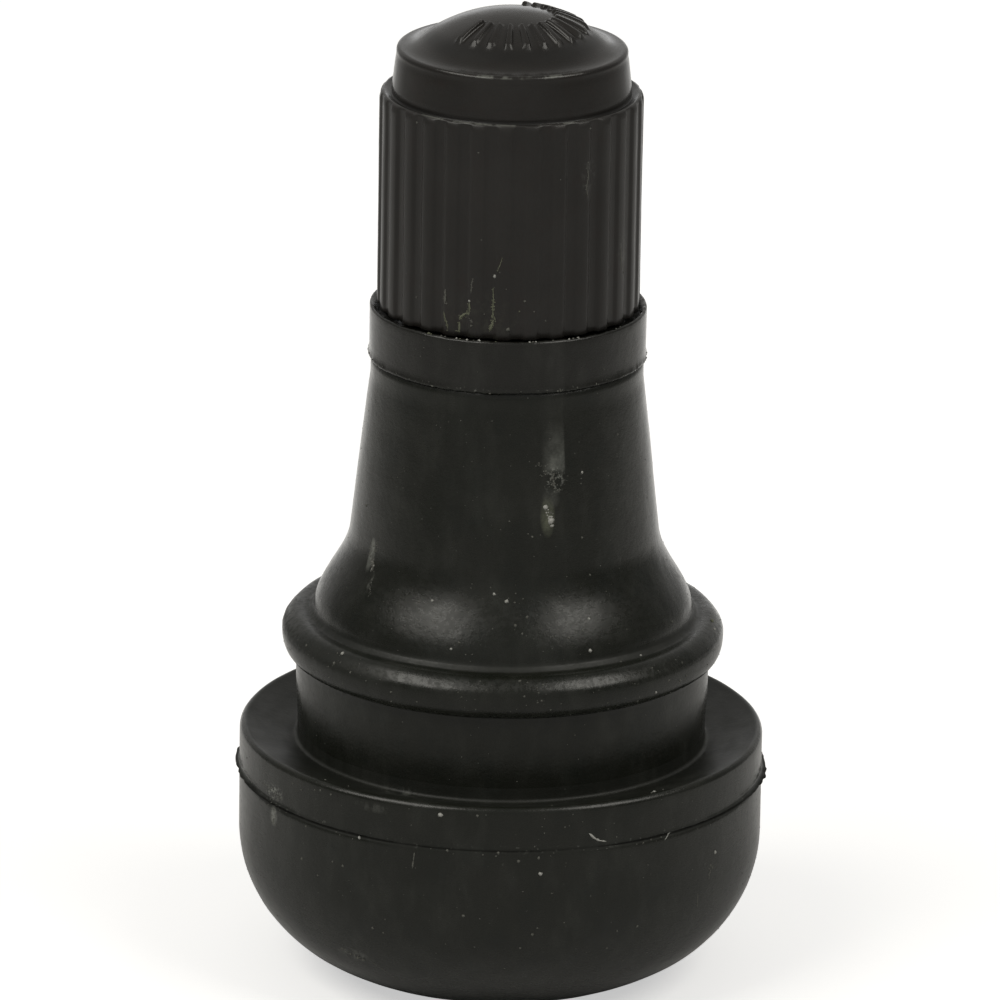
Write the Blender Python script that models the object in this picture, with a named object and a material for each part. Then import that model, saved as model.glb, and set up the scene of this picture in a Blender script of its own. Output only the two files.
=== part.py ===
# Snap-in tyre valve with its screwed-on dust cap, standing on its rubber base.
# Metres, +Z up along the valve's axis, z = 0 at the flat of the base.
import bpy
import bmesh
from math import cos, sin, pi, radians, hypot, sqrt

MM = 0.001

# Rubber moulding: base, rim groove, bead, flared cone and collar
base_radius = 9.6 * MM
foot_radius = 3.9 * MM            # flat that the valve stands on
bowl_height = 5.25 * MM           # rise of the base's bowl-shaped underside
base_height = 9.1 * MM            # up to the land that seats on the wheel rim
base_edge_round = 0.22 * MM
base_flash_height = 7.45 * MM     # parting line round the base
base_flash_reach = 0.15 * MM
base_flash_width = 0.3 * MM
seat_land = 0.5 * MM              # flat ring at the base's top edge
seat_dish = 0.16 * MM             # how far the seat falls towards the neck
neck_fillet = 0.2 * MM
neck_radius = 7.57 * MM
groove_width = 2.9 * MM           # holds the wheel rim
bead_radius = 8.09 * MM
bead_lip = 0.39 * MM              # how far the bead rounds in at its underside
bead_lower = 0.72 * MM            # underside of the bead up to its widest line
bead_upper = 0.78 * MM            # widest line up to the bead's top
bead_shoulder = 0.6 * MM
crease_rise = 0.07 * MM
flare_radius = 6.95 * MM          # cone's foot, at the crease above the bead
flare_height = 3.2 * MM
flare_pull = 1.2 * MM             # how long the flare keeps its end directions
waist_radius = 5.64 * MM          # where the flare meets the straight taper
taper_height = 5.88 * MM
cone_top_radius = 4.97 * MM
cone_top_straight = 0.7 * MM
collar_radius = 5.03 * MM
collar_height = 1.85 * MM
collar_flash_reach = 0.08 * MM
collar_flash_width = 0.16 * MM
collar_edge = 0.12 * MM
air_bore_radius = 1.7 * MM        # air way through the rubber base
air_bore_chamfer = 0.4 * MM

# Brass stem, held in the rubber
stem_length = 23.6 * MM
mouth_height = 33.0 * MM
thread_radius = 3.85 * MM         # standard 7.7 mm outer thread, left smooth here
mouth_radius = 3.35 * MM
mouth_chamfer_height = 0.6 * MM
thread_sunk = 0.2 * MM            # how far the thread starts below the collar's top
thread_runout = 0.4 * MM
shank_radius = 3.5 * MM
shank_height = 1.9 * MM
tail_radius = 2.85 * MM
tail_shoulder = 0.5 * MM
grip_ring_radius = 3.3 * MM
grip_ring_height = 0.8 * MM
grip_rings = 3
grip_ring_pitch = 2.2 * MM
grip_ring_first = 3.4 * MM        # above the stem's foot
anchor_radius = 3.7 * MM
anchor_height = 1.5 * MM
bond_gap = 0.02 * MM              # rubber to brass

# Valve core bore in the stem
core_thread_bore = 2.65 * MM
barrel_bore = 1.95 * MM
seat_taper_height = 1.7 * MM
stem_air_bore = 1.45 * MM
barrel_room = 2.6 * MM            # open bore below the closed core
bore_taper_height = 0.6 * MM
running_gap = 0.05 * MM

# Core plug, swivelling on the barrel's swaged end
plug_radius = 2.6 * MM            # standard 5.2 mm core thread, left smooth here
plug_thread_height = 2.3 * MM
plug_chamfer = 0.2 * MM
plug_web = 0.7 * MM               # inner shoulder that pulls the barrel up
swivel_radius = 1.25 * MM
swage_radius = 1.65 * MM
swage_height = 0.3 * MM
bridge_height = 0.85 * MM
bridge_width = 1.7 * MM           # flats for the core tool
bridge_length = 4.2 * MM
pin_hole_radius = 0.5 * MM

# Core barrel and its tapered gasket
barrel_radius = 1.75 * MM
barrel_length = 8.2 * MM
barrel_inner_radius = 1.12 * MM
barrel_floor = 0.5 * MM           # carries the spring
barrel_roof = 0.6 * MM
barrel_port_radius = 0.75 * MM
gasket_height = 1.5 * MM
gasket_shoulder = 0.1 * MM
gasket_groove_depth = 0.4 * MM
gasket_slack = 0.03 * MM

# Pin, plunger and spring
pin_radius = 0.4 * MM
pin_head_radius = 0.8 * MM
pin_head_height = 0.3 * MM
pin_below_mouth = 0.3 * MM
pin_travel = 1.4 * MM
stop_radius = 0.95 * MM
stop_height = 0.35 * MM
stop_above_floor = 5.1 * MM
rivet_radius = 0.75 * MM
rivet_height = 0.3 * MM
cup_radius = 1.55 * MM
cup_floor = 0.3 * MM
cup_wall = 0.22 * MM
cup_depth = 0.5 * MM
seal_height = 0.65 * MM
wire_radius = 0.11 * MM
spring_turns = 7
spring_radius = 0.84 * MM         # middle of the wire

# Dust cap
cap_gap = 0.15 * MM               # cap's foot above the collar
skirt_root_radius = 4.68 * MM
rib_depth = 0.14 * MM
rib_count = 30
rib_top_angle = radians(4.6)
rib_foot_angle = radians(7.0)
rib_phase = radians(9.7)          # first rib, turned from the side that faces -Y
skirt_edge = 0.1 * MM
crown_radius = 4.34 * MM
crown_top_radius = 4.18 * MM
crown_height = 1.65 * MM          # smooth crown above the ribbed skirt
crown_round = 0.25 * MM
cap_roof = 1.02 * MM              # from the ceiling inside up to the crown's edge
dome_height = 1.35 * MM
dome_ball_radius = 5.5 * MM
dome_radius = 2.8 * MM            # where the dome meets its hollow foot
dome_foot_pull = 0.5 * MM
cap_entry_radius = 4.15 * MM
cap_entry_height = 1.6 * MM
cap_thread_gap = 0.05 * MM
cap_chamber_radius = 3.6 * MM
cap_relief_radius = 2.0 * MM
cap_relief_height = 0.9 * MM
washer_inner_radius = 2.2 * MM
washer_height = 0.8 * MM
washer_gap = 0.04 * MM

# Facets
round_sides = 40
core_sides = 24
pin_sides = 16
wire_sides = 6
wire_steps = 12                   # per turn

# Heights worked out from the sizes above
neck_foot = base_height - seat_dish
bead_underside = base_height + groove_width
bead_line = bead_underside + bead_lower
bead_top = bead_line + bead_upper
crease_height = bead_top + crease_rise
waist_height = crease_height + flare_height
collar_foot = waist_height + taper_height + cone_top_straight
collar_top = collar_foot + collar_height
stem_foot = mouth_height - stem_length
pin_head_top = mouth_height - pin_below_mouth
pin_head_foot = pin_head_top - pin_head_height
bridge_top = pin_head_foot - pin_travel - running_gap
plug_top = bridge_top - bridge_height
plug_foot = plug_top - plug_thread_height
swage_foot = plug_foot + plug_web + running_gap
swage_top = swage_foot + swage_height
barrel_shoulder = plug_foot - running_gap
gasket_top = barrel_shoulder - gasket_shoulder
gasket_foot = gasket_top - gasket_height
barrel_foot = barrel_shoulder - barrel_length
spring_foot = barrel_foot + barrel_floor
stop_foot = barrel_foot + barrel_floor + stop_above_floor
seal_top = barrel_foot - running_gap
cup_seat = seal_top - seal_height
cup_foot = cup_seat - running_gap - cup_floor
rivet_foot = cup_foot - running_gap - rivet_height
washer_foot = mouth_height + washer_gap
washer_top = washer_foot + washer_height
cap_ceiling = washer_top + washer_gap
cap_foot = collar_top + cap_gap
crown_top = cap_ceiling + cap_roof
skirt_top = crown_top - crown_height


def arc(centre, across, up, start, end, steps):
    """Points of an ellipse's arc in the outline's plane, angles in degrees from +R towards +Z."""
    turns = [radians(start + (end - start) * i / steps) for i in range(steps + 1)]
    return [(centre[0] + across * cos(a), centre[1] + up * sin(a)) for a in turns]


def bend(start, leave, arrive, end, steps):
    """Points of a smooth curve that leaves start towards leave and reaches end from arrive."""
    points = []
    for i in range(steps + 1):
        t = i / steps
        weights = ((1 - t) ** 3, 3 * t * (1 - t) ** 2, 3 * t * t * (1 - t), t ** 3)
        corners = (start, leave, arrive, end)
        points.append(tuple(sum(w * c[axis] for w, c in zip(weights, corners)) for axis in (0, 1)))
    return points


def grown(outline, gap):
    """An open outline moved sideways by gap, to the right of its own direction."""
    moved = []
    for i, point in enumerate(outline):
        before = outline[max(i - 1, 0)]
        after = outline[min(i + 1, len(outline) - 1)]
        sides = []
        for a, b in ((before, point), (point, after)):
            length = hypot(b[0] - a[0], b[1] - a[1])
            if length > 0:
                sides.append(((b[1] - a[1]) / length, (a[0] - b[0]) / length))
        first, last = sides[0], sides[-1]
        share = gap / (1 + first[0] * last[0] + first[1] * last[1])
        moved.append((point[0] + share * (first[0] + last[0]), point[1] + share * (first[1] + last[1])))
    return moved


def finished(name, mesh, colour, metallic, roughness):
    """The piece as an object of its own, closed, facing outward and shaded smooth."""
    if mesh.calc_volume(signed=True) < 0:
        bmesh.ops.reverse_faces(mesh, faces=mesh.faces)
    data = bpy.data.meshes.new(name)
    mesh.to_mesh(data)
    mesh.free()
    piece = bpy.data.objects.new(name, data)
    bpy.context.scene.collection.objects.link(piece)
    for face in data.polygons:
        face.use_smooth = True
    data.materials.append(material(name, colour, metallic, roughness))
    return piece


def material(name, colour, metallic, roughness):
    skin = bpy.data.materials.new(name + "_skin")
    skin.use_nodes = True
    shader = skin.node_tree.nodes["Principled BSDF"]
    shader.inputs["Base Color"].default_value = (*colour, 1)
    shader.inputs["Metallic"].default_value = metallic
    shader.inputs["Roughness"].default_value = roughness
    return skin


def lathe(outline, turns, lifts=None):
    """A mesh that turns an outline of (radius, height) or (radius, height, rib share) about Z.

    It is closed through the axis, or end to end where the outline stays off the axis."""
    mesh = bmesh.new()
    lifts = lifts or [0] * len(turns)
    rings = []
    for point in outline:
        share = point[2] if len(point) > 2 else 0
        if point[0] == 0:
            rings.append([mesh.verts.new((0, 0, point[1]))] * len(turns))
            continue
        ring = []
        for angle, lift in zip(turns, lifts):
            radius = point[0] + share * lift
            ring.append(mesh.verts.new((radius * cos(angle), radius * sin(angle), point[1])))
        rings.append(ring)
    pairs = list(zip(rings, rings[1:]))
    if outline[0][0] > 0:
        pairs.append((rings[-1], rings[0]))
    for lower, upper in pairs:
        if lower[0] is lower[1] and upper[0] is upper[1]:
            continue
        for i in range(len(turns)):
            j = (i + 1) % len(turns)
            corners = []
            for corner in (lower[i], lower[j], upper[j], upper[i]):
                if corner not in corners:
                    corners.append(corner)
            mesh.faces.new(corners)
    bmesh.ops.recalc_face_normals(mesh, faces=mesh.faces)
    return mesh


def even(sides):
    return [2 * pi * i / sides for i in range(sides)]


RUBBER = (0.02, 0.022, 0.019)
PLASTIC = (0.022, 0.021, 0.02)
BRASS = (0.78, 0.57, 0.27)
STEEL = (0.6, 0.6, 0.58)
GASKET = (0.45, 0.05, 0.03)


def stem_grip_outline():
    """The stem's outside in the rubber, from its foot up to the collar's top."""
    outline = [(anchor_radius, stem_foot), (anchor_radius, stem_foot + anchor_height)]
    outline.append((tail_radius, stem_foot + anchor_height))
    for ring in range(grip_rings):
        foot = stem_foot + grip_ring_first + ring * grip_ring_pitch
        outline += [(tail_radius, foot), (grip_ring_radius, foot)]
        outline += [(grip_ring_radius, foot + grip_ring_height), (tail_radius, foot + grip_ring_height)]
    shank_top = collar_top - thread_sunk - thread_runout
    shank_foot = shank_top - shank_height
    outline += [(tail_radius, shank_foot - tail_shoulder), (shank_radius, shank_foot)]
    outline += [(shank_radius, shank_top), (thread_radius, collar_top - thread_sunk)]
    return outline


def rubber_body():
    foot_inner = air_bore_radius + air_bore_chamfer
    flash = base_radius + base_flash_reach
    land_outer = base_radius - base_edge_round
    land_inner = land_outer - seat_land
    neck = (neck_radius + neck_fillet, neck_foot + neck_fillet)
    outline = [(foot_inner, 0)]
    outline += arc((foot_radius, bowl_height), base_radius - foot_radius, bowl_height, -90, 0, 10)
    outline.append((base_radius, base_flash_height - base_flash_width / 2))
    outline.append((flash, base_flash_height))
    outline.append((base_radius, base_flash_height + base_flash_width / 2))
    outline += arc((land_outer, base_height - base_edge_round), base_edge_round, base_edge_round, 0, 90, 2)
    outline.append((land_inner, base_height))
    outline += arc(neck, neck_fillet, neck_fillet, 270, 180, 2)
    outline += [(neck_radius, bead_underside), (bead_radius - bead_lip, bead_underside)]
    outline += arc((bead_radius - bead_lip, bead_line), bead_lip, bead_lower, -70, 0, 3)
    outline += arc((bead_radius - bead_shoulder, bead_line), bead_shoulder, bead_upper, 25, 90, 3)
    crease = (flare_radius, crease_height)
    waist = (waist_radius, waist_height)
    lean = (waist_radius - cone_top_radius) / taper_height * flare_pull
    leave = (flare_radius, crease_height + flare_pull)
    outline += bend(crease, leave, (waist_radius + lean, waist_height - flare_pull), waist, 6)
    outline.append((cone_top_radius, waist_height + taper_height))
    outline.append((cone_top_radius, collar_foot))
    outline.append((collar_radius + collar_flash_reach, collar_foot))
    outline.append((collar_radius + collar_flash_reach, collar_foot + collar_flash_width))
    outline.append((collar_radius, collar_foot + 2 * collar_flash_width))
    outline += [(collar_radius, collar_top - collar_edge), (collar_radius - collar_edge, collar_top)]
    pocket = grown(stem_grip_outline(), bond_gap)
    pocket[0] = (pocket[0][0], stem_foot - bond_gap)
    outline += [(pocket[-1][0], collar_top)] + pocket[::-1]
    outline += [(air_bore_radius, stem_foot - bond_gap), (air_bore_radius, air_bore_chamfer)]
    return finished("rubber_body", lathe(outline, even(round_sides)), RUBBER, 0, 0.6)


def brass_stem():
    outline = stem_grip_outline()
    outline += [(thread_radius, mouth_height - mouth_chamfer_height), (mouth_radius, mouth_height)]
    seat_top = barrel_shoulder
    seat_foot = seat_top - seat_taper_height
    room_foot = rivet_foot - pin_travel - barrel_room
    outline += [(core_thread_bore, mouth_height), (core_thread_bore, seat_top)]
    outline += [(seat_bore(seat_top), seat_top), (barrel_bore, seat_foot), (barrel_bore, room_foot)]
    outline += [(stem_air_bore, room_foot - bore_taper_height), (stem_air_bore, stem_foot)]
    return finished("brass_stem", lathe(outline, even(round_sides)), BRASS, 1, 0.35)


def seat_bore(height):
    """Radius of the stem's tapered seat, where the gasket lies."""
    rise = (height - (barrel_shoulder - seat_taper_height)) / seat_taper_height
    return barrel_bore + (core_thread_bore - barrel_bore) * 0.6 * rise


def core_plug():
    outline = [(swivel_radius + running_gap, plug_foot), (plug_radius - plug_chamfer, plug_foot)]
    outline += [(plug_radius, plug_foot + plug_chamfer), (plug_radius, plug_top - plug_chamfer)]
    outline += [(plug_radius - plug_chamfer, plug_top), (swage_radius + running_gap, plug_top)]
    outline += [(swage_radius + running_gap, plug_foot + plug_web)]
    outline += [(swivel_radius + running_gap, plug_foot + plug_web)]
    plug = finished("core_plug", lathe(outline, even(core_sides)), BRASS, 1, 0.35)
    # the bridge stands on the ring's top, over its open bore, and is sunk into the ring to join it
    bridge = bmesh.new()
    bmesh.ops.create_cube(bridge, size=1)
    sunk = plug_thread_height / 4
    middle = (bridge_top + plug_top - sunk) / 2
    tall = bridge_top - plug_top + sunk
    for corner in bridge.verts:
        corner.co.x *= bridge_length
        corner.co.y *= bridge_width
        corner.co.z = middle + corner.co.z * tall
    drill = [(0, plug_foot), (pin_hole_radius, plug_foot), (pin_hole_radius, mouth_height), (0, mouth_height)]
    hole = lathe(drill, even(core_sides))
    joined(plug, bridge, "UNION")
    joined(plug, hole, "DIFFERENCE")
    return plug


def joined(piece, other, way):
    """Joins a mesh to a piece, or cuts it out, and leaves one body."""
    tool_data = bpy.data.meshes.new("tool")
    if other.calc_volume(signed=True) < 0:
        bmesh.ops.reverse_faces(other, faces=other.faces)
    other.to_mesh(tool_data)
    other.free()
    tool = bpy.data.objects.new("tool", tool_data)
    bpy.context.scene.collection.objects.link(tool)
    tool.hide_render = True
    tool.display_type = "WIRE"
    step = piece.modifiers.new(way.lower(), "BOOLEAN")
    step.operation = way
    step.solver = "EXACT"
    step.object = tool


def core_barrel():
    groove_radius = barrel_radius - gasket_groove_depth
    outline = [(barrel_port_radius, barrel_foot), (barrel_radius, barrel_foot)]
    outline += [(barrel_radius, gasket_foot - gasket_slack), (groove_radius, gasket_foot - gasket_slack)]
    outline += [(groove_radius, gasket_top + gasket_slack), (barrel_radius, gasket_top + gasket_slack)]
    outline += [(barrel_radius, barrel_shoulder), (swivel_radius, barrel_shoulder)]
    outline += [(swivel_radius, swage_foot), (swage_radius, swage_foot), (swage_radius, swage_top)]
    outline += [(barrel_port_radius, swage_top), (barrel_port_radius, barrel_shoulder - barrel_roof)]
    outline += [(barrel_inner_radius, barrel_shoulder - barrel_roof), (barrel_inner_radius, spring_foot)]
    outline += [(barrel_port_radius, spring_foot)]
    return finished("core_barrel", lathe(outline, even(core_sides)), BRASS, 1, 0.4)


def barrel_gasket():
    inner = barrel_radius - gasket_groove_depth + gasket_slack
    outline = [(inner, gasket_foot), (seat_bore(gasket_foot) - gasket_slack, gasket_foot)]
    outline += [(seat_bore(gasket_top) - gasket_slack, gasket_top), (inner, gasket_top)]
    return finished("barrel_gasket", lathe(outline, even(core_sides)), GASKET, 0, 0.5)


def core_pin():
    edge = pin_head_height / 3
    outline = [(0, rivet_foot), (rivet_radius, rivet_foot), (rivet_radius, rivet_foot + rivet_height)]
    outline += [(pin_radius, rivet_foot + rivet_height), (pin_radius, stop_foot)]
    outline += [(stop_radius, stop_foot), (stop_radius, stop_foot + stop_height)]
    outline += [(pin_radius, stop_foot + stop_height), (pin_radius, pin_head_foot)]
    outline += [(pin_head_radius, pin_head_foot), (pin_head_radius, pin_head_top - edge)]
    outline += [(pin_head_radius - edge, pin_head_top), (0, pin_head_top)]
    return finished("core_pin", lathe(outline, even(pin_sides)), BRASS, 1, 0.4)


def plunger_cup():
    bore = pin_radius + gasket_slack
    outline = [(bore, cup_foot), (cup_radius, cup_foot), (cup_radius, cup_seat - running_gap + cup_depth)]
    outline += [(cup_radius - cup_wall, cup_seat - running_gap + cup_depth)]
    outline += [(cup_radius - cup_wall, cup_foot + cup_floor), (bore, cup_foot + cup_floor)]
    return finished("plunger_cup", lathe(outline, even(core_sides)), BRASS, 1, 0.4)


def plunger_seal():
    inner = pin_radius + gasket_slack
    outer = cup_radius - cup_wall - gasket_slack
    outline = [(inner, cup_seat), (outer, cup_seat), (outer, seal_top), (inner, seal_top)]
    return finished("plunger_seal", lathe(outline, even(core_sides)), RUBBER, 0, 0.6)


def core_spring():
    """A round wire wound from the barrel's floor up to the pin's stop, clear of both."""
    mesh = bmesh.new()
    low = spring_foot + running_gap / 2 + wire_radius
    high = stop_foot - running_gap / 2 - wire_radius
    steps = spring_turns * wire_steps
    rings = []
    for i in range(steps + 1):
        angle = 2 * pi * i / wire_steps
        height = low + (high - low) * i / steps
        ring = []
        for k in range(wire_sides):
            turn = 2 * pi * k / wire_sides
            reach = spring_radius + wire_radius * cos(turn)
            ring.append(mesh.verts.new((reach * cos(angle), reach * sin(angle), height + wire_radius * sin(turn))))
        rings.append(ring)
    for lower, upper in zip(rings, rings[1:]):
        for k in range(wire_sides):
            j = (k + 1) % wire_sides
            mesh.faces.new((lower[k], lower[j], upper[j], upper[k]))
    mesh.faces.new(rings[0])
    mesh.faces.new(rings[-1][::-1])
    bmesh.ops.recalc_face_normals(mesh, faces=mesh.faces)
    return finished("core_spring", mesh, STEEL, 1, 0.3)


def cap_seal():
    outer = cap_chamber_radius - washer_gap
    outline = [(washer_inner_radius, washer_foot), (outer, washer_foot)]
    outline += [(outer, washer_top), (washer_inner_radius, washer_top)]
    return finished("cap_seal", lathe(outline, even(round_sides)), RUBBER, 0, 0.6)


def dust_cap():
    turns = []
    lifts = []
    for rib in range(rib_count):
        middle = rib_phase - pi / 2 + 2 * pi * rib / rib_count
        turns += [middle - rib_foot_angle / 2, middle - rib_top_angle / 2]
        turns += [middle + rib_top_angle / 2, middle + rib_foot_angle / 2]
        lifts += [0, rib_depth, rib_depth, 0]
    bore = thread_radius + cap_thread_gap
    chamber_foot = mouth_height - mouth_chamfer_height / 3
    relief_top = cap_ceiling + cap_relief_height
    outline = [(cap_entry_radius, cap_foot), (skirt_root_radius, cap_foot, 1)]
    outline += [(skirt_root_radius, skirt_top - skirt_edge, 1), (skirt_root_radius - skirt_edge, skirt_top, 1)]
    outline.append((crown_radius, skirt_top))
    edge = (crown_top_radius - crown_round, crown_top - crown_round)
    outline += arc(edge, crown_round, crown_round, 0, 90, 2)
    outline += dome(crown_top_radius - crown_round)
    outline += [(0, relief_top), (cap_relief_radius, relief_top), (cap_relief_radius, cap_ceiling)]
    outline += [(cap_chamber_radius, cap_ceiling), (cap_chamber_radius, chamber_foot)]
    outline += [(bore, chamber_foot), (bore, cap_foot + cap_entry_height + cap_entry_radius - bore)]
    outline += [(cap_entry_radius, cap_foot + cap_entry_height)]
    return finished("dust_cap", lathe(outline, turns, lifts), PLASTIC, 0, 0.45)


def dome(start):
    """The dome's outline from its hollow foot, at radius start, up to the axis."""
    ball = crown_top + dome_height - dome_ball_radius
    meets = sqrt(dome_ball_radius ** 2 - dome_radius ** 2)
    tilt = dome_radius / meets
    leave = (start - dome_foot_pull, crown_top)
    arrive = (dome_radius + dome_foot_pull, ball + meets - tilt * dome_foot_pull)
    outline = bend((start, crown_top), leave, arrive, (dome_radius, ball + meets), 3)[1:]
    for share in (2 / 3, 1 / 3):
        reach = dome_radius * share
        outline.append((reach, ball + sqrt(dome_ball_radius ** 2 - reach ** 2)))
    return outline + [(0, ball + dome_ball_radius)]


def clear_scene():
    for piece in list(bpy.data.objects):
        bpy.data.objects.remove(piece)


def main():
    clear_scene()
    rubber_body()
    brass_stem()
    core_plug()
    core_barrel()
    barrel_gasket()
    core_pin()
    core_spring()
    plunger_cup()
    plunger_seal()
    cap_seal()
    dust_cap()


main()
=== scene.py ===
from math import cos, sin, pi, radians, hypot, sqrt

import bpy
import bmesh
import numpy as np
from mathutils import Matrix, Vector, noise
from mathutils.bvhtree import BVHTree

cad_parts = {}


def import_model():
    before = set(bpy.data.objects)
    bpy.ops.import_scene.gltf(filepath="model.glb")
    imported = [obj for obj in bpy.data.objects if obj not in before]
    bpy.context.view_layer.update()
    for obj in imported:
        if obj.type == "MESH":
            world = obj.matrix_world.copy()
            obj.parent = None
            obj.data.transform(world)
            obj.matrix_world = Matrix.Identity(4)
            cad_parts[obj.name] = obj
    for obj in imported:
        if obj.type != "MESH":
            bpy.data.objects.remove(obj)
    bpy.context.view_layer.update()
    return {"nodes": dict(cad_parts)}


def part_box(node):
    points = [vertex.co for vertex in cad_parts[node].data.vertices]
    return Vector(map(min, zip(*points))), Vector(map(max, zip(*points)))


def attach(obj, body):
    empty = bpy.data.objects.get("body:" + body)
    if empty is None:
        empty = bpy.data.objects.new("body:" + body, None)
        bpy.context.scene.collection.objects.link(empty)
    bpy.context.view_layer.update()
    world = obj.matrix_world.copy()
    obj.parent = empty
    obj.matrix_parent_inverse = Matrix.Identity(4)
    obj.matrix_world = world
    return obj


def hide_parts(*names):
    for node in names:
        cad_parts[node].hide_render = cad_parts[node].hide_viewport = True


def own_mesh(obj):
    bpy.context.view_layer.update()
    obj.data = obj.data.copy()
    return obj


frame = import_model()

MM = 0.001

# Camera, as in the photograph
VIEW_DISTANCE = 365.0
VIEW_ELEVATION = radians(18.0)
VIEW_HEIGHT = 17.72
VIEW_SIDE = -0.18
VIEW_ROLL = radians(0.95)
LENS = 360.0
SENSOR = 36.0
CLIP_START = 0.01

# Studio light, along the world's directions: start and end of a slope, and the light at each
FRONT_TO_BACK = (0.05, 1.08, 0.31, 0.45)
TO_THE_SIDES = (0.5, 0.85, 1.0, 0.45)
UPWARDS = (0.5, 0.85, 1.0, 0.7)
SKY_IN_MIRRORS = (0.96, 0.995)    # straight behind, mirrors see white too

# Lamps: name, azimuth and elevation, width and height in metres, power
LAMPS = [
    ("left_box", -57, 48, 0.44, 0.28, 1.35),
    ("right_box", 60, 48, 0.34, 0.28, 1.0),
]
LAMP_DISTANCE = 0.6
LAMP_AIM = 0.018

# Floor paper
FLOOR_HALF = 1500.0
FLOOR_GLOW = 0.52                 # lifts the paper to white for the camera
FLOOR_BRIGHTENS = (-45.0, 55.0)   # from front to back
FLOOR_DIMS = (80.0, 170.0)        # with the distance from the valve
FLOOR_MIRROR_TURN = (radians(124), radians(166), 0.0, 0.55)    # mirrors see part of the white
FLOOR_MIRROR_REACH = (22.0, 66.0)

# Colours
PURE_WHITE = (1, 1, 1, 1)
STUDIO_WHITE = (1.0, 0.985, 0.95, 1)
LAMP_WHITE = (1.0, 0.975, 0.91)
FLOOR_SEEN = (0.95, 0.95, 0.95, 1)
FLOOR_FRONT = (0.5, 0.5, 0.5, 1)
FLOOR_DIM = (0.42, 0.42, 0.42, 1)
RUBBER_DARK = (0.0064, 0.0077, 0.0043, 1)
RUBBER_LIGHT = (0.0102, 0.0110, 0.0074, 1)
RUBBER_BLOTCH = (0.0044, 0.0064, 0.0040, 1)
COLLAR_COLOUR = (0.0128, 0.0128, 0.0106, 1)
# dark colour of the flash: painted shade in its groove and under its fin, partly dark stains
FLASH_STAIN_AND_SHADE = (0.003, 0.0035, 0.002, 1)
PLASTIC_DARK = (0.0180, 0.0164, 0.0146, 1)
PLASTIC_LIGHT = (0.0222, 0.0204, 0.0184, 1)
PLASTIC_BLOTCH = (0.0210, 0.0155, 0.0130, 1)
# painted shade for the crown's foot and the dome's foot
CAP_SHADE = (0.004, 0.0038, 0.003, 1)
DUST = (0.30, 0.31, 0.28, 1)
GREEN_DUST = (0.30, 0.32, 0.22, 1)
GRAIN_COLOURS = {
    "pale_dust": (0.12, 0.12, 0.105, 1),
    "white_dust": (0.42, 0.42, 0.39, 1),
    "green_dust": (0.15, 0.158, 0.108, 1),
}
STEM_BRASS = (0.78, 0.57, 0.27)
CORE_BRASS = (0.80, 0.60, 0.30)
SPRING_STEEL = (0.62, 0.62, 0.60)
GASKET_RED = (0.42, 0.05, 0.03, 1)
SEAL_BLACK = (0.02, 0.02, 0.02, 1)

# Core spring
SPRING_R = 0.84
SPRING_TURNS = 7
WIRE_R = 0.11
WIRE_STEPS = 40
WIRE_SIDES = 12

# Rubber moulding
BASE_R = 9.6
FOOT_R = 3.9
BOWL_H = 5.25
BASE_H = 9.1
BASE_LIP_Z = 7.64
BASE_LIP_REACH = 0.19
SEAT_LAND_R = 9.12
SEAT_DISH = 0.41
NECK_R = 7.57
NECK_FOOT_R = 7.49
NECK_FILLET = 0.13
GROOVE_W = 2.9
BEAD_R = 8.09
BEAD_LIP = 0.39
BEAD_LOWER = 0.72
BEAD_UPPER = 0.78
FLARE_R = 6.95
FLARE_H = 3.2
FLARE_PULL = 1.2
WAIST_R = 5.64
TAPER_H = 5.88
CONE_TOP_R = 4.97
CONE_STRAIGHT = 0.7
COLLAR_R = 5.03
COLLAR_H = 1.85
COLLAR_LIP_REACH = 0.055
COLLAR_EDGE = 0.1
AIR_BORE_R = 1.7
AIR_BORE_CHAMFER = 0.4
RUBBER_SIDES = 320
RUBBER_STEP = 0.25
RUBBER_WAVES = ((0.022, 3.1, 1), (0.007, 0.8, 2))    # height, size, seed
FLASH_W = 0.04
FLASH_SEED = 5.1
GROOVE_DEPTH = 0.1
GROOVE_SEED = 6.6
LIP_SAG = 0.08
SAG_SEED = 2.3
COLLAR_LIP_SEED = 9.7
COLLAR_SKIN = 4.6                 # the collar's top lies outside this radius
COLLAR_EDGE_SEED = 4.4
COLLAR_TOP_SEED = 8.2

# Brass stem
STEM_L = 23.6
MOUTH_Z = 33.0
THREAD_R = 3.85
THREAD_PITCH = 0.79375
THREAD_DEPTH = 0.487
THREAD_FLAT = 0.125               # crest and root, as a share of the pitch
THREAD_ROWS = 14
THREAD_SUNK = 0.2
THREAD_RUNOUT = 0.4
MOUTH_R = 3.35
MOUTH_CHAMFER = 0.6
SHANK_R = 3.5
SHANK_H = 1.9
TAIL_R = 2.85
TAIL_SHOULDER = 0.5
RING_R = 3.3
RING_H = 0.8
RING_COUNT = 3
RING_PITCH = 2.2
RING_FIRST = 3.4
ANCHOR_R = 3.7
ANCHOR_H = 1.5
BOND_GAP = 0.02
CORE_BORE_R = 2.65
BARREL_BORE_R = 1.95
STEM_AIR_R = 1.45
SEAT_TOP = 27.75
SEAT_H = 1.7
ROOM_FOOT = 14.15
BORE_TAPER = 0.6
STEM_SIDES = 160
STEM_STEP = 0.5

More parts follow.
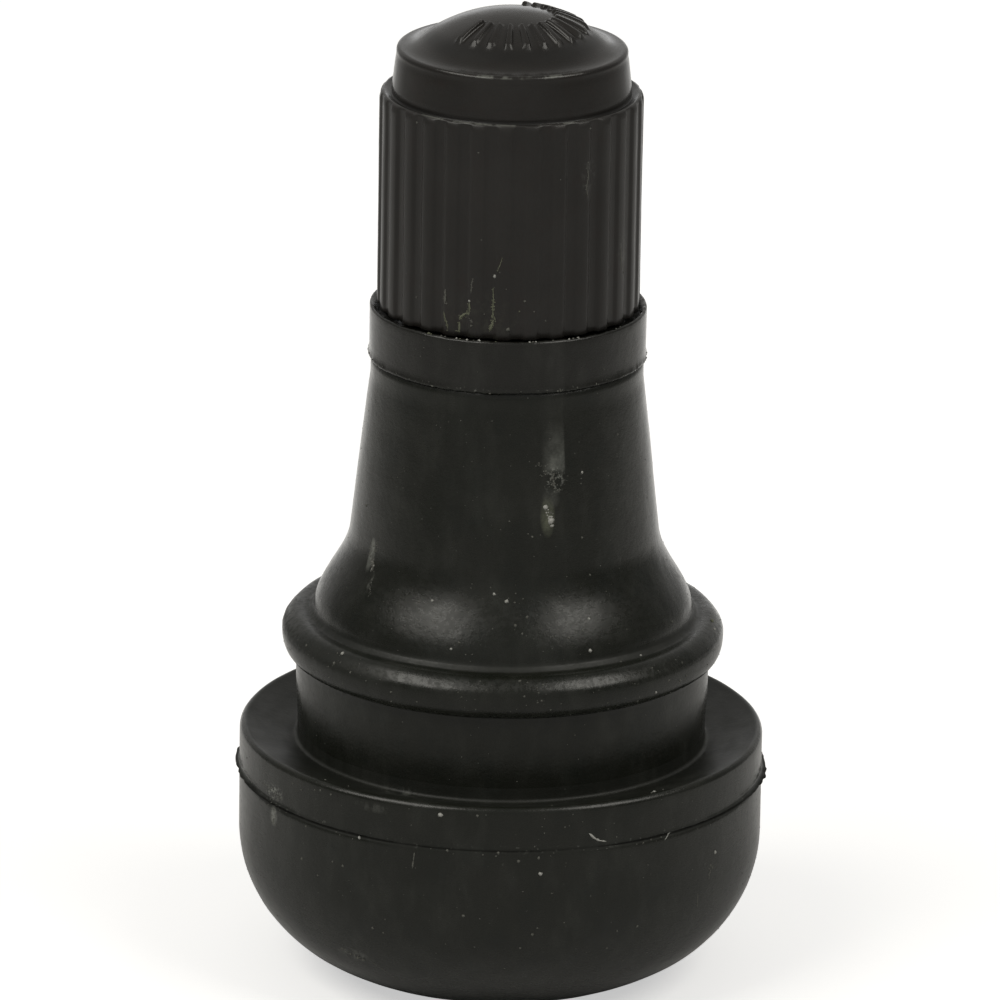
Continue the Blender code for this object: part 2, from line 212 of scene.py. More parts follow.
# Dust cap
CAP_GAP = 0.07
SKIRT_R = 4.68
RIB_DEPTH = 0.09
RIB_BEVEL = 0.22
SKIRT_EDGE = 0.08
SHELF_DROP = 0.11
RIBS = 30
RIB_PHASE = radians(9.7)
RIB_TOP = radians(4.0)
RIB_FOOT = radians(9.2)
CROWN_R = 4.34
CROWN_TOP_R = 4.18
CROWN_H = 1.65
CROWN_ROUND = 0.15
CAP_ROOF = 1.02
DOME_H = 1.35
DOME_BALL_R = 5.5
DOME_R = 2.8
DOME_STEPS = 48
DOME_PULL = 0.5
CAP_ENTRY_R = 4.15
CAP_ENTRY_H = 1.6
THREAD_PLAY = 0.06
CAP_THREAD_ROWS = 12
CAP_STEP = 0.3
CAP_WAVES = ((0.012, 2.4, 6), (0.004, 0.6, 7))
CHAMBER_R = 3.6
RELIEF_R = 2.0
RELIEF_H = 0.9
WASHER_H = 0.8
WASHER_GAP = 0.04
BAR_COUNT = 16                    # plain raised bars on the dome, in an arc
BAR_PITCH = radians(14.0)
BAR_MIDDLE = radians(60.0)
BAR_WIDTH = radians(7.0)
BAR_INNER = 1.45
BAR_OUTER = 2.78
BAR_RISE = 0.15
BAR_FLANK = radians(1.2)
BAR_END = 0.12

# Grains of dust
GRAIN_SIDES = 7
GRAIN_SUNK = 0.3
RUBBER_SEED = 7
CAP_SEED = 11
LIP_CRUMBS = 70
PALE = 1

# Marks seen in the photograph: angle, height, size, kind (1 pale, 2 white, 3 green)
RUBBER_GRAINS = [
    (31.8, 20.27, 0.12, 2), (31.0, 19.87, 0.07, 1), (31.2, 20.05, 0.06, 1), (30.5, 17.89, 0.1, 1),
    (33.2, 16.48, 0.11, 1), (52.0, 21.31, 0.09, 1), (1.8, 18.68, 0.08, 1), (10.5, 18.09, 0.1, 1),
    (9.0, 18.2, 0.07, 1), (15.8, 19.13, 0.2, 2), (17.9, 18.63, 0.26, 2), (17.8, 18.93, 0.12, 1),
    (18.3, 18.45, 0.14, 2), (-25.2, 15.64, 0.11, 2), (-30.0, 15.52, 0.11, 1), (-15.8, 14.19, 0.11, 2),
    (-13.5, 14.42, 0.1, 1), (-66.5, 18.14, 0.12, 1), (-48.8, 13.44, 0.17, 2), (-50.3, 13.4, 0.09, 1),
    (-63.8, 13.19, 0.12, 1), (-49.5, 13.1, 0.14, 1), (-42.8, 13.0, 0.1, 1), (-29.5, 12.67, 0.12, 1),
    (-3.2, 16.04, 0.13, 2), (1.2, 15.82, 0.16, 2), (4.0, 15.77, 0.09, 1), (8.0, 15.3, 0.12, 1),
    (4.0, 15.04, 0.12, 1), (6.2, 14.78, 0.1, 1), (29.2, 15.08, 0.13, 2), (21.0, 14.56, 0.12, 1),
    (15.8, 14.65, 0.08, 1), (26.0, 14.74, 0.09, 1), (27.5, 14.05, 0.15, 2), (45.0, 13.53, 0.12, 2),
    (37.0, 13.51, 0.1, 1), (64.2, 14.15, 0.11, 1), (84.8, 13.44, 0.2, 3), (81.0, 13.3, 0.12, 2),
    (4.8, 13.41, 0.13, 1), (10.8, 13.28, 0.1, 1), (5.8, 12.93, 0.1, 1), (10.2, 12.76, 0.09, 1),
    (48.2, 12.72, 0.12, 1), (53.0, 12.54, 0.14, 1), (55.8, 12.63, 0.1, 1), (43.8, 12.4, 0.13, 2),
    (37.8, 12.22, 0.09, 1), (29.0, 12.13, 0.08, 1), (-42.5, 8.88, 0.1, 1), (-44.2, 8.83, 0.08, 1),
    (-48.5, 8.63, 0.08, 1), (-39.5, 8.85, 0.1, 1), (-51.5, 8.73, 0.09, 1), (-12.8, 8.84, 0.2, 2),
    (-4.8, 8.9, 0.11, 1), (-31.8, 7.48, 0.14, 2), (-46.8, 7.3, 0.1, 1), (-48.0, 6.0, 0.14, 1),
    (-36.0, 6.25, 0.12, 1), (-38.8, 6.3, 0.08, 1), (-28.5, 4.07, 0.12, 1), (-7.5, 5.05, 0.13, 1),
    (-26.0, 3.97, 0.08, 1), (-43.0, 5.6, 0.09, 1), (-39.2, 2.74, 0.13, 1), (-37.2, 2.57, 0.1, 1),
    (-35.2, 2.5, 0.17, 1), (-33.8, 2.45, 0.18, 1), (-11.2, 7.5, 0.13, 1), (-0.2, 7.5, 0.12, 1),
    (8.5, 7.3, 0.12, 1), (4.2, 7.2, 0.12, 1), (9.0, 6.7, 0.17, 2), (7.5, 4.36, 0.14, 1),
    (32.0, 4.22, 0.11, 1), (27.0, 4.17, 0.09, 1), (25.2, 3.48, 0.09, 1), (54.8, 6.2, 0.16, 2),
    (53.0, 5.5, 0.1, 1), (5.0, 3.79, 0.09, 1), (26.0, 7.85, 0.08, 1), (37.5, 7.5, 0.09, 1),
]
SEAT_GRAINS = [
    (37.8, 9.1, 0.15, 2, 9.06), (36.0, 9.07, 0.12, 1, 9.3), (40.2, 9.1, 0.1, 1, 9.11),
    (-44.0, 9.1, 0.12, 1, 9.1), (-38.0, 9.1, 0.08, 1, 8.9), (12.0, 9.1, 0.07, 1, 9.0),
]
RUBBER_SMEARS = [
    ([(-18.5, 7.3), (-18.7, 7.0), (-19.0, 6.65)], 0.05, 1),
    ([(-32.0, 2.49), (-29.5, 2.2), (-26.0, 1.6)], 0.04, 1),
    ([(19.6, 8.12), (20.8, 7.92), (22.0, 7.8), (23.6, 7.74)], 0.075, 2),
    ([(38.5, 7.35), (39.3, 7.5), (40.5, 7.62)], 0.06, 2),
    ([(49.0, 4.9), (49.2, 4.6), (49.5, 4.3)], 0.045, 1),
    ([(-56.2, 16.4), (-55.4, 16.2), (-55.0, 16.0)], 0.12, 1),
]
RUBBER_TRAILS = [
    ([(-55.2, 17.1), (-55.8, 16.75), (-56.0, 16.35)], 0.1, 1),
    ([(-59.8, 16.71), (-58.6, 16.55), (-57.2, 16.3)], 0.09, 1),
    ([(-57.0, 16.9), (-56.8, 16.6), (-56.2, 16.2)], 0.09, 1),
    ([(-56.2, 16.4), (-55.4, 16.2), (-55.0, 16.0)], 0.15, 2),
    ([(-53.6, 15.95), (-53.0, 15.6), (-51.4, 15.3)], 0.07, 1),
    ([(53.4, 5.75), (53.0, 5.3)], 0.1, 1),
    ([(12.0, 20.72), (13.4, 20.74), (14.6, 20.66)], 0.06, 1),
    ([(15.5, 20.66), (17.2, 20.7), (18.6, 20.74)], 0.05, 1),
    ([(14.2, 20.3), (15.2, 20.42), (16.4, 20.36), (18.0, 20.34), (19.6, 20.36)], 0.07, 1),
    ([(18.2, 20.2), (19.6, 19.9), (20.6, 19.6)], 0.14, 1),
    ([(15.2, 19.2), (16.2, 19.0), (17.6, 18.75), (18.0, 18.5)], 0.12, 2),
    ([(18.2, 20.0), (19.8, 19.8), (21.8, 19.72)], 0.12, 1),
    ([(-64.5, 8.14), (-60.0, 8.05), (-56.2, 7.94)], 0.16, 1),
    ([(-59.3, 7.45), (-58.9, 7.1), (-58.8, 6.85)], 0.12, 1),
    ([(-58.4, 7.9), (-59.0, 7.5)], 0.2, 1),
    ([(-39.4, 2.76), (-36.0, 2.6), (-33.6, 2.45)], 0.16, 1),
]
# Crumbs on the collar's top: angle, size, kind
COLLAR_CRUMBS = [
    (-35.2, 0.15, 3), (-33.8, 0.1, 3), (-28.8, 0.1, 1), (-27.0, 0.08, 1), (-21.8, 0.12, 2),
    (-17.2, 0.13, 2), (-11.8, 0.13, 2), (-20.2, 0.08, 3), (-14.4, 0.06, 1), (-5.0, 0.06, 3),
    (9.2, 0.1, 2), (10.6, 0.1, 1), (11.8, 0.1, 2), (19.2, 0.08, 1), (26.5, 0.11, 2),
    (28.4, 0.12, 1), (30.8, 0.12, 2), (52.0, 0.09, 1), (55.0, 0.08, 1),
]
# Loose dust: low and high height, spread of angle, count, size
LOOSE_DUST = [
    (13.8, 22.5, 180, 150, 0.045), (12.0, 13.5, 180, 110, 0.055), (1.5, 9.0, 180, 190, 0.05),
    (13.9, 16.5, 50, 40, 0.05), (12.1, 13.4, 60, 40, 0.06), (9.4, 11.9, 180, 30, 0.045),
    (23.5, 25.0, 180, 25, 0.04), (7.38, 7.52, 180, 90, 0.06), (1.5, 9.0, 180, 260, 0.03),
    (13.8, 22.5, 180, 220, 0.03), (12.0, 13.5, 180, 120, 0.035),
]
CAP_GRAINS = [
    (-17.2, 26.66, 0.12, 2), (-6.2, 27.64, 0.15, 2), (0.0, 25.68, 0.16, 1), (7.0, 26.74, 0.1, 1),
    (5.0, 26.34, 0.07, 3), (11.2, 26.34, 0.07, 1), (16.8, 25.95, 0.07, 1), (-44.8, 26.39, 0.12, 1),
    (-14.0, 32.2, 0.07, 1), (36.5, 32.95, 0.1, 1), (-46.0, 32.9, 0.11, 1), (35.5, 31.7, 0.06, 1),
    (-16.0, 25.75, 0.09, 1), (-10.5, 26.2, 0.07, 1), (-1.0, 27.2, 0.05, 1), (22.0, 31.2, 0.05, 1),
]
CAP_TRAILS = [
    ([(-28.6, 26.98), (-28.5, 26.75), (-28.6, 26.45)], 0.12, 1),
    ([(-29.3, 26.15), (-28.6, 25.95), (-27.6, 25.75), (-26.9, 25.5)], 0.06, 3),
    ([(-15.8, 27.5), (-16.2, 27.2), (-16.4, 26.95)], 0.05, 1),
    ([(-17.2, 26.62), (-17.0, 26.4), (-17.3, 26.2)], 0.11, 3),
    ([(-17.4, 26.2), (-19.3, 26.14), (-21.0, 26.02), (-21.8, 25.92)], 0.12, 3),
    ([(-21.9, 25.82), (-21.7, 25.6), (-22.0, 25.38)], 0.1, 3),
    ([(-16.2, 26.0), (-15.9, 25.85)], 0.07, 1),
    ([(-6.9, 27.2), (-6.5, 26.8), (-6.8, 26.4), (-6.4, 26.0)], 0.08, 3),
    ([(-6.4, 26.0), (-7.0, 25.8), (-8.2, 25.55)], 0.13, 3),
    ([(-5.0, 27.83), (-3.8, 28.1), (-3.0, 28.33)], 0.035, 3),
    ([(35.2, 31.5), (35.9, 31.2), (34.9, 30.8), (35.8, 30.4)], 0.05, 1),
    ([(59.8, 28.6), (61.8, 28.0), (60.6, 27.2)], 0.07, 1),
    ([(58.0, 28.2), (57.6, 27.8), (58.6, 27.3)], 0.05, 1),
]
# Films rubbed on the skin: angle, height, half width, half height, radius of the skin, texture, share
RUBBER_FILMS = [
    (19.6, 20.15, 0.46, 0.62, 5.2, "flecks", 0.7), (18.0, 19.45, 0.36, 0.42, 5.3, "soft", 0.2),
    (-57.9, 16.55, 0.22, 0.66, 5.7, "soft", 0.9), (-53.5, 15.6, 0.12, 0.5, 6.1, "broken", 0.3),
    (-59.5, 8.05, 0.8, 0.38, 9.6, "flecks", 0.95), (-58.8, 7.12, 0.28, 0.42, 9.6, "soft", 0.75),
    (-28.0, 8.75, 1.1, 0.2, 9.6, "broken", 0.16), (-36.0, 2.6, 0.8, 0.35, 8.0, "broken", 0.25),
]
RUBBER_GREEN_FILM = (16.6, 18.8, 0.3, 0.8, 5.4, "soft", 0.4)
CAP_HAZE = (-12.0, 26.0, 1.7, 1.1, 4.8)
CAP_SCRATCHES = ((36.5, 31.1, 0.4, 0.9, 4.8), (59.5, 28.0, 0.5, 0.9, 4.8))

# Heights worked out from the sizes above
NECK_FOOT = BASE_H - SEAT_DISH
BEAD_FOOT = BASE_H + GROOVE_W
BEAD_LINE = BEAD_FOOT + BEAD_LOWER
BEAD_TOP = BEAD_LINE + BEAD_UPPER
CREASE_Z = BEAD_TOP + 0.07
WAIST_Z = CREASE_Z + FLARE_H
COLLAR_Z = WAIST_Z + TAPER_H + CONE_STRAIGHT
COLLAR_TOP = COLLAR_Z + COLLAR_H
STEM_FOOT = MOUTH_Z - STEM_L
CEILING = MOUTH_Z + WASHER_H + 2 * WASHER_GAP
CAP_FOOT = COLLAR_TOP + CAP_GAP
CROWN_TOP = CEILING + CAP_ROOF
SKIRT_TOP = CROWN_TOP - CROWN_H


# Outline helpers

def off(corner, *steps):
    """Points by their distance from a corner, outwards and up."""
    return [(corner[0] + out, corner[1] + up) for out, up in steps]


def arc(centre, across, up, start, end, steps):
    """Points on a round or oval arc, from one angle to another in degrees."""
    turns = [radians(start + (end - start) * i / steps) for i in range(steps + 1)]
    return [(centre[0] + across * cos(a), centre[1] + up * sin(a)) for a in turns]


def bend(start, leave, arrive, end, steps):
    """Points on a curve from start to end that is drawn towards two guide points."""
    points = []
    for i in range(steps + 1):
        t = i / steps
        weights = ((1 - t) ** 3, 3 * t * (1 - t) ** 2, 3 * t * t * (1 - t), t ** 3)
        corners = (start, leave, arrive, end)
        points.append(tuple(sum(w * c[axis] for w, c in zip(weights, corners)) for axis in (0, 1)))
    return points


def grown(outline, gap):
    """An open outline moved sideways by gap, to the right of its own direction."""
    moved = []
    for i, point in enumerate(outline):
        before = outline[max(i - 1, 0)]
        after = outline[min(i + 1, len(outline) - 1)]
        sides = []
        for a, b in ((before, point), (point, after)):
            length = hypot(b[0] - a[0], b[1] - a[1])
            if length > 0:
                sides.append(((b[1] - a[1]) / length, (a[0] - b[0]) / length))
        first, last = sides[0], sides[-1]
        share = gap / (1 + first[0] * last[0] + first[1] * last[1])
        moved.append((point[0] + share * (first[0] + last[0]), point[1] + share * (first[1] + last[1])))
    return moved


def filled(points, step):
    """The outline with its long stretches divided, so that no stretch is longer than step."""
    result = [points[0]]
    for a, b in zip(points, points[1:]):
        pieces = max(1, int(np.ceil(hypot(b[0] - a[0], b[1] - a[1]) / step)))
        for i in range(1, pieces + 1):
            result.append((a[0] + (b[0] - a[0]) * i / pieces, a[1] + (b[1] - a[1]) * i / pieces))
    return result


# Mesh helpers

def linked(name, data):
    """A new object in the scene."""
    made = bpy.data.objects.new(name, data)
    bpy.context.scene.collection.objects.link(made)
    return made


def lump(radius, height, angle, size, seed):
    """Smooth noise from -1 to 1 over turned points, with lumps of about size millimetres."""
    x = (radius * np.sin(angle)).ravel() / size
    y = (-radius * np.cos(angle)).ravel() / size
    z = height.ravel() / size
    shift = seed * 17.3
    values = [noise.noise((a + shift, b - shift, c + shift)) for a, b, c in zip(x, y, z)]
    return np.array(values).reshape(radius.shape)


def waves(radius, height, angle, layers):
    """Small waves of a moulding; each layer has a height, a size and a seed."""
    return sum(tall * lump(radius, height, angle, size, seed) for tall, size, seed in layers)


def even(sides):
    return np.arange(sides) * 2 * pi / sides


def turned(name, outline, turns, change=None):
    """A piece turned about Z. change(radius, height, angle, out_r, out_z) moves its points.

    Where the outline meets the axis, two of its points lie there, one after the other.
    """
    line = np.array(outline, float)
    ahead = np.roll(line, -1, axis=0) - np.roll(line, 1, axis=0)
    length = np.maximum(np.hypot(ahead[:, 0], ahead[:, 1]), 1e-9)
    off_axis = line[:, 0] > 0
    out_r = (ahead[:, 1] / length * off_axis)[:, None]
    out_z = (-ahead[:, 0] / length * off_axis)[:, None]
    shape = (len(line), len(turns))
    radius = np.broadcast_to(line[:, 0][:, None], shape).copy()
    height = np.broadcast_to(line[:, 1][:, None], shape).copy()
    angle = np.broadcast_to(turns[None, :], shape)
    if change is not None:
        radius, height = change(radius, height, angle, out_r, out_z)
    points = np.stack((radius * np.sin(angle), -radius * np.cos(angle), height), axis=-1) * MM
    index = np.arange(line.shape[0] * len(turns)).reshape(shape)
    index[~off_axis, :] = index[~off_axis, :1]
    after = np.roll(index, -1, axis=0)
    right = np.roll(index, -1, axis=1)
    corner = np.roll(after, -1, axis=1)
    quads = np.stack((index, right, corner, after), axis=-1).reshape(-1, 4)
    return built(name, points.reshape(-1, 3), quads)


def built(name, points, quads):
    """The points and faces as an object, with repeated corners and unused points left out."""
    used = np.unique(quads)
    places = np.full(len(points), -1)
    places[used] = np.arange(len(used))
    faces = []
    for quad in places[quads].tolist():
        corners = [c for i, c in enumerate(quad) if c != quad[i - 1]]
        if len(corners) > 2:
            faces.append(corners)
    data = bpy.data.meshes.new(name)
    data.from_pydata(points[used].tolist(), [], faces)
    mesh = bmesh.new()
    mesh.from_mesh(data)
    if mesh.calc_volume(signed=True) < 0:
        bmesh.ops.reverse_faces(mesh, faces=mesh.faces)
    mesh.to_mesh(data)
    mesh.free()
    data.polygons.foreach_set("use_smooth", [True] * len(data.polygons))
    return linked(name, data)


class Dust:
    """Grains and smears that lie on a turned piece and become part of its mesh."""

    def __init__(self, piece, seed):
        self.mesh = bmesh.new()
        self.mesh.from_mesh(piece.data)
        self.piece = piece
        self.tree = BVHTree.FromBMesh(self.mesh)
        self.random = np.random.default_rng(seed)

    def spot(self, angle, height, radius=None):
        """Point on the skin and its outward direction, at an angle in degrees."""
        turn = radians(angle)
        side = Vector((sin(turn), -cos(turn), 0))
        if radius is None:
            start, way = side * 0.03 + Vector((0, 0, height * MM)), -side
        else:
            start, way = side * radius * MM + Vector((0, 0, height * MM + 0.001)), Vector((0, 0, -1))
        place, out, _, _ = self.tree.ray_cast(start, way)
        return place, out

    def grain(self, angle, height, size, kind, radius=None, tall=0.35):
        place, out = self.spot(angle, height, radius)
        if place is None:
            return
        side = out.orthogonal().normalized()
        other = out.cross(side)
        half = size * MM / 2
        spins = np.arange(GRAIN_SIDES) * 2 * pi / GRAIN_SIDES + self.random.uniform(0, 1)
        reach = self.random.uniform(0.65, 1.2, GRAIN_SIDES) * half
        ring = [self.mesh.verts.new(place + side * cos(t) * r + other * sin(t) * r)
                for t, r in zip(spins, reach)]
        top = self.mesh.verts.new(place + out * size * MM * tall)
        foot = self.mesh.verts.new(place - out * size * MM * GRAIN_SUNK)
        for one, two in zip(ring, ring[1:] + ring[:1]):
            self.mesh.faces.new((one, two, top)).material_index = kind
            self.mesh.faces.new((two, one, foot)).material_index = kind

    def smear(self, path, width, kind, rise=0.2, uneven=0.45):
        """A flat streak along (angle, height) points; a degree counts as a tenth of a millimetre."""
        points = filled([(a * 0.1, h) for a, h in path], 0.07)
        spots = [self.spot(a * 10, h) for a, h in points]
        spots = [s for s in spots if s[0] is not None]
        if len(spots) < 3:
            return
        rings = []
        for i, (place, out) in enumerate(spots):
            along = (spots[min(i + 1, len(spots) - 1)][0] - spots[max(i - 1, 0)][0]).normalized()
            side = out.cross(along)
            taper = min(1, (i + 0.4) / 2, (len(spots) - i - 0.6) / 2)
            half = width * MM / 2 * taper * (1 + self.random.uniform(-uneven, uneven))
            lift = width * MM * rise * taper
            corners = (place - side * half, place + out * lift, place + side * half, place - out * lift)
            rings.append([self.mesh.verts.new(c) for c in corners])
        for one, two in zip(rings, rings[1:]):
            for i in range(4):
                j = (i + 1) % 4
                self.mesh.faces.new((one[i], one[j], two[j], two[i])).material_index = kind
        self.mesh.faces.new(rings[0][::-1]).material_index = kind
        self.mesh.faces.new(rings[-1]).material_index = kind

    def trail(self, path, width, kind, density=26):
        """Many small grains scattered along a path of (angle, height) points."""
        points = filled([(a * 0.09, h) for a, h in path], 0.05)
        for _ in range(max(3, int(density * 0.05 * len(points)))):
            a, h = points[self.random.integers(len(points))]
            aside = self.random.normal(0, width * 0.45)
            size = self.random.uniform(0.35, 1.0) * min(width, 0.09)
            self.grain((a + aside) / 0.09, h + self.random.normal(0, 0.04), size, kind, tall=0.2)

    def settle(self, materials):
        for face in self.mesh.faces:
            face.smooth = True
        self.mesh.to_mesh(self.piece.data)
        self.mesh.free()
        for material in materials:
            self.piece.data.materials.append(material)


def ragged(angle, seed, fine=1.0):
    """A ragged line round the axis, from 0 to 1, the same at every height."""
    turn = angle[0]
    values = []
    for a in turn:
        x, y = sin(a), -cos(a)
        coarse = noise.noise((x * 4 + seed, y * 4, 0))
        middle = noise.noise((x * 17 * fine, y * 17 * fine + seed, 3))
        small = noise.noise((x * 55 * fine, y * 55 * fine - seed, 7))
        values.append(0.5 + 0.35 * coarse + 0.35 * middle + 0.4 * small)
    return np.clip(np.array(values), 0.05, 1.3)[None, :]


def near(height, middle, width):
    return np.exp(-((height - middle) / width) ** 2)


# Rubber body

def grip_outline():
    """The stem's outside in the rubber, from its foot up to the collar's top."""
    outline = [(ANCHOR_R, STEM_FOOT), (ANCHOR_R, STEM_FOOT + ANCHOR_H), (TAIL_R, STEM_FOOT + ANCHOR_H)]
    for ring in range(RING_COUNT):
        foot = STEM_FOOT + RING_FIRST + ring * RING_PITCH
        outline += [(TAIL_R, foot), (RING_R, foot), (RING_R, foot + RING_H), (TAIL_R, foot + RING_H)]
    shank_top = COLLAR_TOP - THREAD_SUNK - THREAD_RUNOUT
    outline += [(TAIL_R, shank_top - SHANK_H - TAIL_SHOULDER), (SHANK_R, shank_top - SHANK_H)]
    outline += [(SHANK_R, shank_top), (THREAD_R, COLLAR_TOP - THREAD_SUNK)]
    return outline


def base_outline():
    """The bowl, its parting line and the seat's narrow rounded edge."""
    bore = (AIR_BORE_R + AIR_BORE_CHAMFER, AIR_BORE_CHAMFER)
    line = arc(bore, AIR_BORE_CHAMFER, AIR_BORE_CHAMFER, 180, 270, 5)
    line += arc((FOOT_R, BOWL_H), BASE_R - FOOT_R, BOWL_H, -90, 0, 70)
    # rows for the flash, a thin fin over a fine groove
    rows = (-0.35, -0.14, -0.1, -0.065, -0.035, 0, 0.04, 0.09, 0.2)
    line += [(BASE_R, BASE_LIP_Z + up) for up in rows]
    line += off((BASE_R, BASE_H), (0, -0.35), (0, -0.12), (-0.015, -0.05), (-0.045, 0), (-0.085, 0.045),
                (-0.12, 0.07), (-0.17, 0.085), (-0.23, 0.08), (-0.3, 0.06), (-0.38, 0.035))
    return line + [(SEAT_LAND_R, BASE_H + 0.002)]


def neck_outline():
    """From the dished seat up the neck, which lies in the wheel rim's hole."""
    inner = NECK_FOOT_R + NECK_FILLET
    line = [(inner + 0.1, NECK_FOOT + 0.02)]
    line += arc((inner, NECK_FOOT + NECK_FILLET), NECK_FILLET, NECK_FILLET, 280, 180, 7)
    line += off((NECK_FOOT_R, BASE_H), (0, 0.3), (0.04, 1.1))
    line += [(NECK_R - 0.01, BASE_H + 1.8)]
    return line + off((NECK_R, BEAD_FOOT), (0, -0.4), (0, -0.12), (0.03, 0))


def bead_outline():
    """A rounded underside, a flat side, a faint edge and a bevelled shoulder."""
    line = arc((BEAD_R - BEAD_LIP, BEAD_LINE), BEAD_LIP, BEAD_LOWER, -84, 0, 9)
    line += off((BEAD_R, BEAD_LINE), (0, 0.16), (-0.02, 0.23), (-0.035, 0.28), (-0.05, 0.33),
                (-0.11, 0.42), (-0.18, 0.51), (-0.26, 0.6), (-0.35, 0.69), (-0.45, 0.75))
    return line + off((BEAD_R, BEAD_TOP), (-0.58, 0), (-0.72, 0))


def cone_outline():
    """A shallow crease, the flared cone and the collar."""
    line = off((FLARE_R, BEAD_TOP), (0.26, -0.01), (0.18, -0.005), (0.14, 0.03), (0.09, 0.08),
               (0.04, 0.135), (0.005, 0.19))
    crease = (FLARE_R - 0.01, BEAD_TOP + 0.26)
    leave = (FLARE_R - 0.16, CREASE_Z + FLARE_PULL)
    lean = (WAIST_R - CONE_TOP_R) / TAPER_H * FLARE_PULL
    line += bend(crease, leave, (WAIST_R + lean, WAIST_Z - FLARE_PULL), (WAIST_R, WAIST_Z), 26)[1:]
    line += [(CONE_TOP_R, WAIST_Z + TAPER_H)]
    line += off((CONE_TOP_R, COLLAR_Z), (0, -0.3), (0, -0.05), (-0.03, -0.03), (-0.03, 0))
    line += [(COLLAR_R, COLLAR_Z + up) for up in (0.02, 0.05, 0.1, 0.2, 0.34)]
    line += arc((COLLAR_R - COLLAR_EDGE, COLLAR_TOP - 0.03), COLLAR_EDGE, COLLAR_EDGE, 0, 90, 4)
    return line + [(COLLAR_R - COLLAR_EDGE - 0.05, COLLAR_TOP)]


def rubber_outline():
    """The moulding's outside, and inside it the pocket for the stem and the air way."""
    line = filled(base_outline() + neck_outline() + bead_outline() + cone_outline(), RUBBER_STEP)
    pocket = grown(grip_outline(), BOND_GAP)
    pocket[0] = (pocket[0][0], STEM_FOOT - BOND_GAP)
    line += [(pocket[-1][0], COLLAR_TOP)] + pocket[::-1]
    return line + [(AIR_BORE_R, STEM_FOOT - BOND_GAP), (AIR_BORE_R, 0.5 * STEM_FOOT)]


def base_flash(radius, height, angle):
    """Where the flash round the base lies, how far it reaches, and the groove's depth under it."""
    on_edge = radius > BASE_R - 0.02
    sideways = np.abs(np.sin(angle))
    fringe = ragged(angle, FLASH_SEED)
    lip = near(height, BASE_LIP_Z, FLASH_W) * on_edge
    aside = np.clip((sideways - 0.75) / 0.2, 0, 1)
    reach = BASE_LIP_REACH * (aside * (0.38 + 0.8 * fringe) + 0.16 * fringe ** 2)
    # the groove fades in front
    groove = near(height, BASE_LIP_Z - 0.08, FLASH_W) * on_edge
    open_share = 0.22 + 0.78 * np.clip((sideways - 0.3) / 0.45, 0, 1)
    return lip, reach, GROOVE_DEPTH * groove * open_share * (0.4 + ragged(angle, GROOVE_SEED))


def collar_flash(radius, height, angle):
    """Where the flash under the collar lies, and how far it reaches."""
    lip = near(height, COLLAR_Z + 0.05, 0.06) + 0.3 * near(height, COLLAR_Z + 0.14, 0.1)
    lip *= (radius > COLLAR_R - 0.01) & (height < COLLAR_TOP - 0.5)
    return lip, COLLAR_LIP_REACH * (0.2 + 1.1 * ragged(angle, COLLAR_LIP_SEED, 0.7))


def rubber_change(radius, height, angle, out_r, out_z):
    """The ragged flash, the collar's uneven top edge and the skin's small waves."""
    outside = (radius > 4.5) | (height < 2)
    lip, reach, groove = base_flash(radius, height, angle)
    collar, collar_reach = collar_flash(radius, height, angle)
    sag = LIP_SAG * (ragged(angle, SAG_SEED) - 0.5)
    wave = waves(radius, height, angle, RUBBER_WAVES)
    new_radius = radius + lip * reach + collar * collar_reach + outside * wave * out_r
    new_height = height + np.clip(lip + collar, 0, 1) * sag + outside * wave * out_z * (height > 0.05)
    on_top = radius > COLLAR_SKIN
    edge = near(height, COLLAR_TOP + 0.03, 0.12) * on_top
    new_radius += 0.02 * edge * (ragged(angle, COLLAR_EDGE_SEED) - 0.5)
    new_radius -= groove
    crest = near(height, COLLAR_TOP + 0.07, 0.03) * on_top
    new_height += 0.06 * crest * (ragged(angle, COLLAR_TOP_SEED) - 0.5)
    return new_radius, np.maximum(new_height, 0)


def rubber_piece():
    piece = turned("rubber_skin", rubber_outline(), even(RUBBER_SIDES), rubber_change)
    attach(piece, "valve_body")
    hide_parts("rubber_body")
    piece.data.materials.append(rubber_material())
    rubber_dust(piece)


# Stem and spring

def thread_drop(height, angle, pitch, depth):
    """How far a right-hand thread's surface lies under its crest."""
    phase = np.mod(height / pitch - angle / (2 * pi), 1.0)
    away = np.abs(phase - 0.5) * 2
    return depth * np.clip((away - THREAD_FLAT) / (1 - 2 * THREAD_FLAT), 0, 1)


def stem_outline():
    """The grip in the rubber, the thread, the mouth and the bore down to the air way."""
    line = filled(grip_outline(), STEM_STEP)
    thread_foot = COLLAR_TOP - THREAD_SUNK
    rows = int((MOUTH_Z - thread_foot) / (THREAD_PITCH / THREAD_ROWS))
    line += [(THREAD_R, thread_foot + (MOUTH_Z - thread_foot) * i / rows) for i in range(1, rows + 1)]
    line += [(MOUTH_R - 0.25, MOUTH_Z), (CORE_BORE_R + 0.1, MOUTH_Z), (CORE_BORE_R, MOUTH_Z - 0.12)]
    line += [(CORE_BORE_R, SEAT_TOP), (BARREL_BORE_R + 0.42, SEAT_TOP), (BARREL_BORE_R, SEAT_TOP - SEAT_H)]
    line += [(BARREL_BORE_R, ROOM_FOOT), (STEM_AIR_R, ROOM_FOOT - BORE_TAPER), (STEM_AIR_R, STEM_FOOT)]
    return line


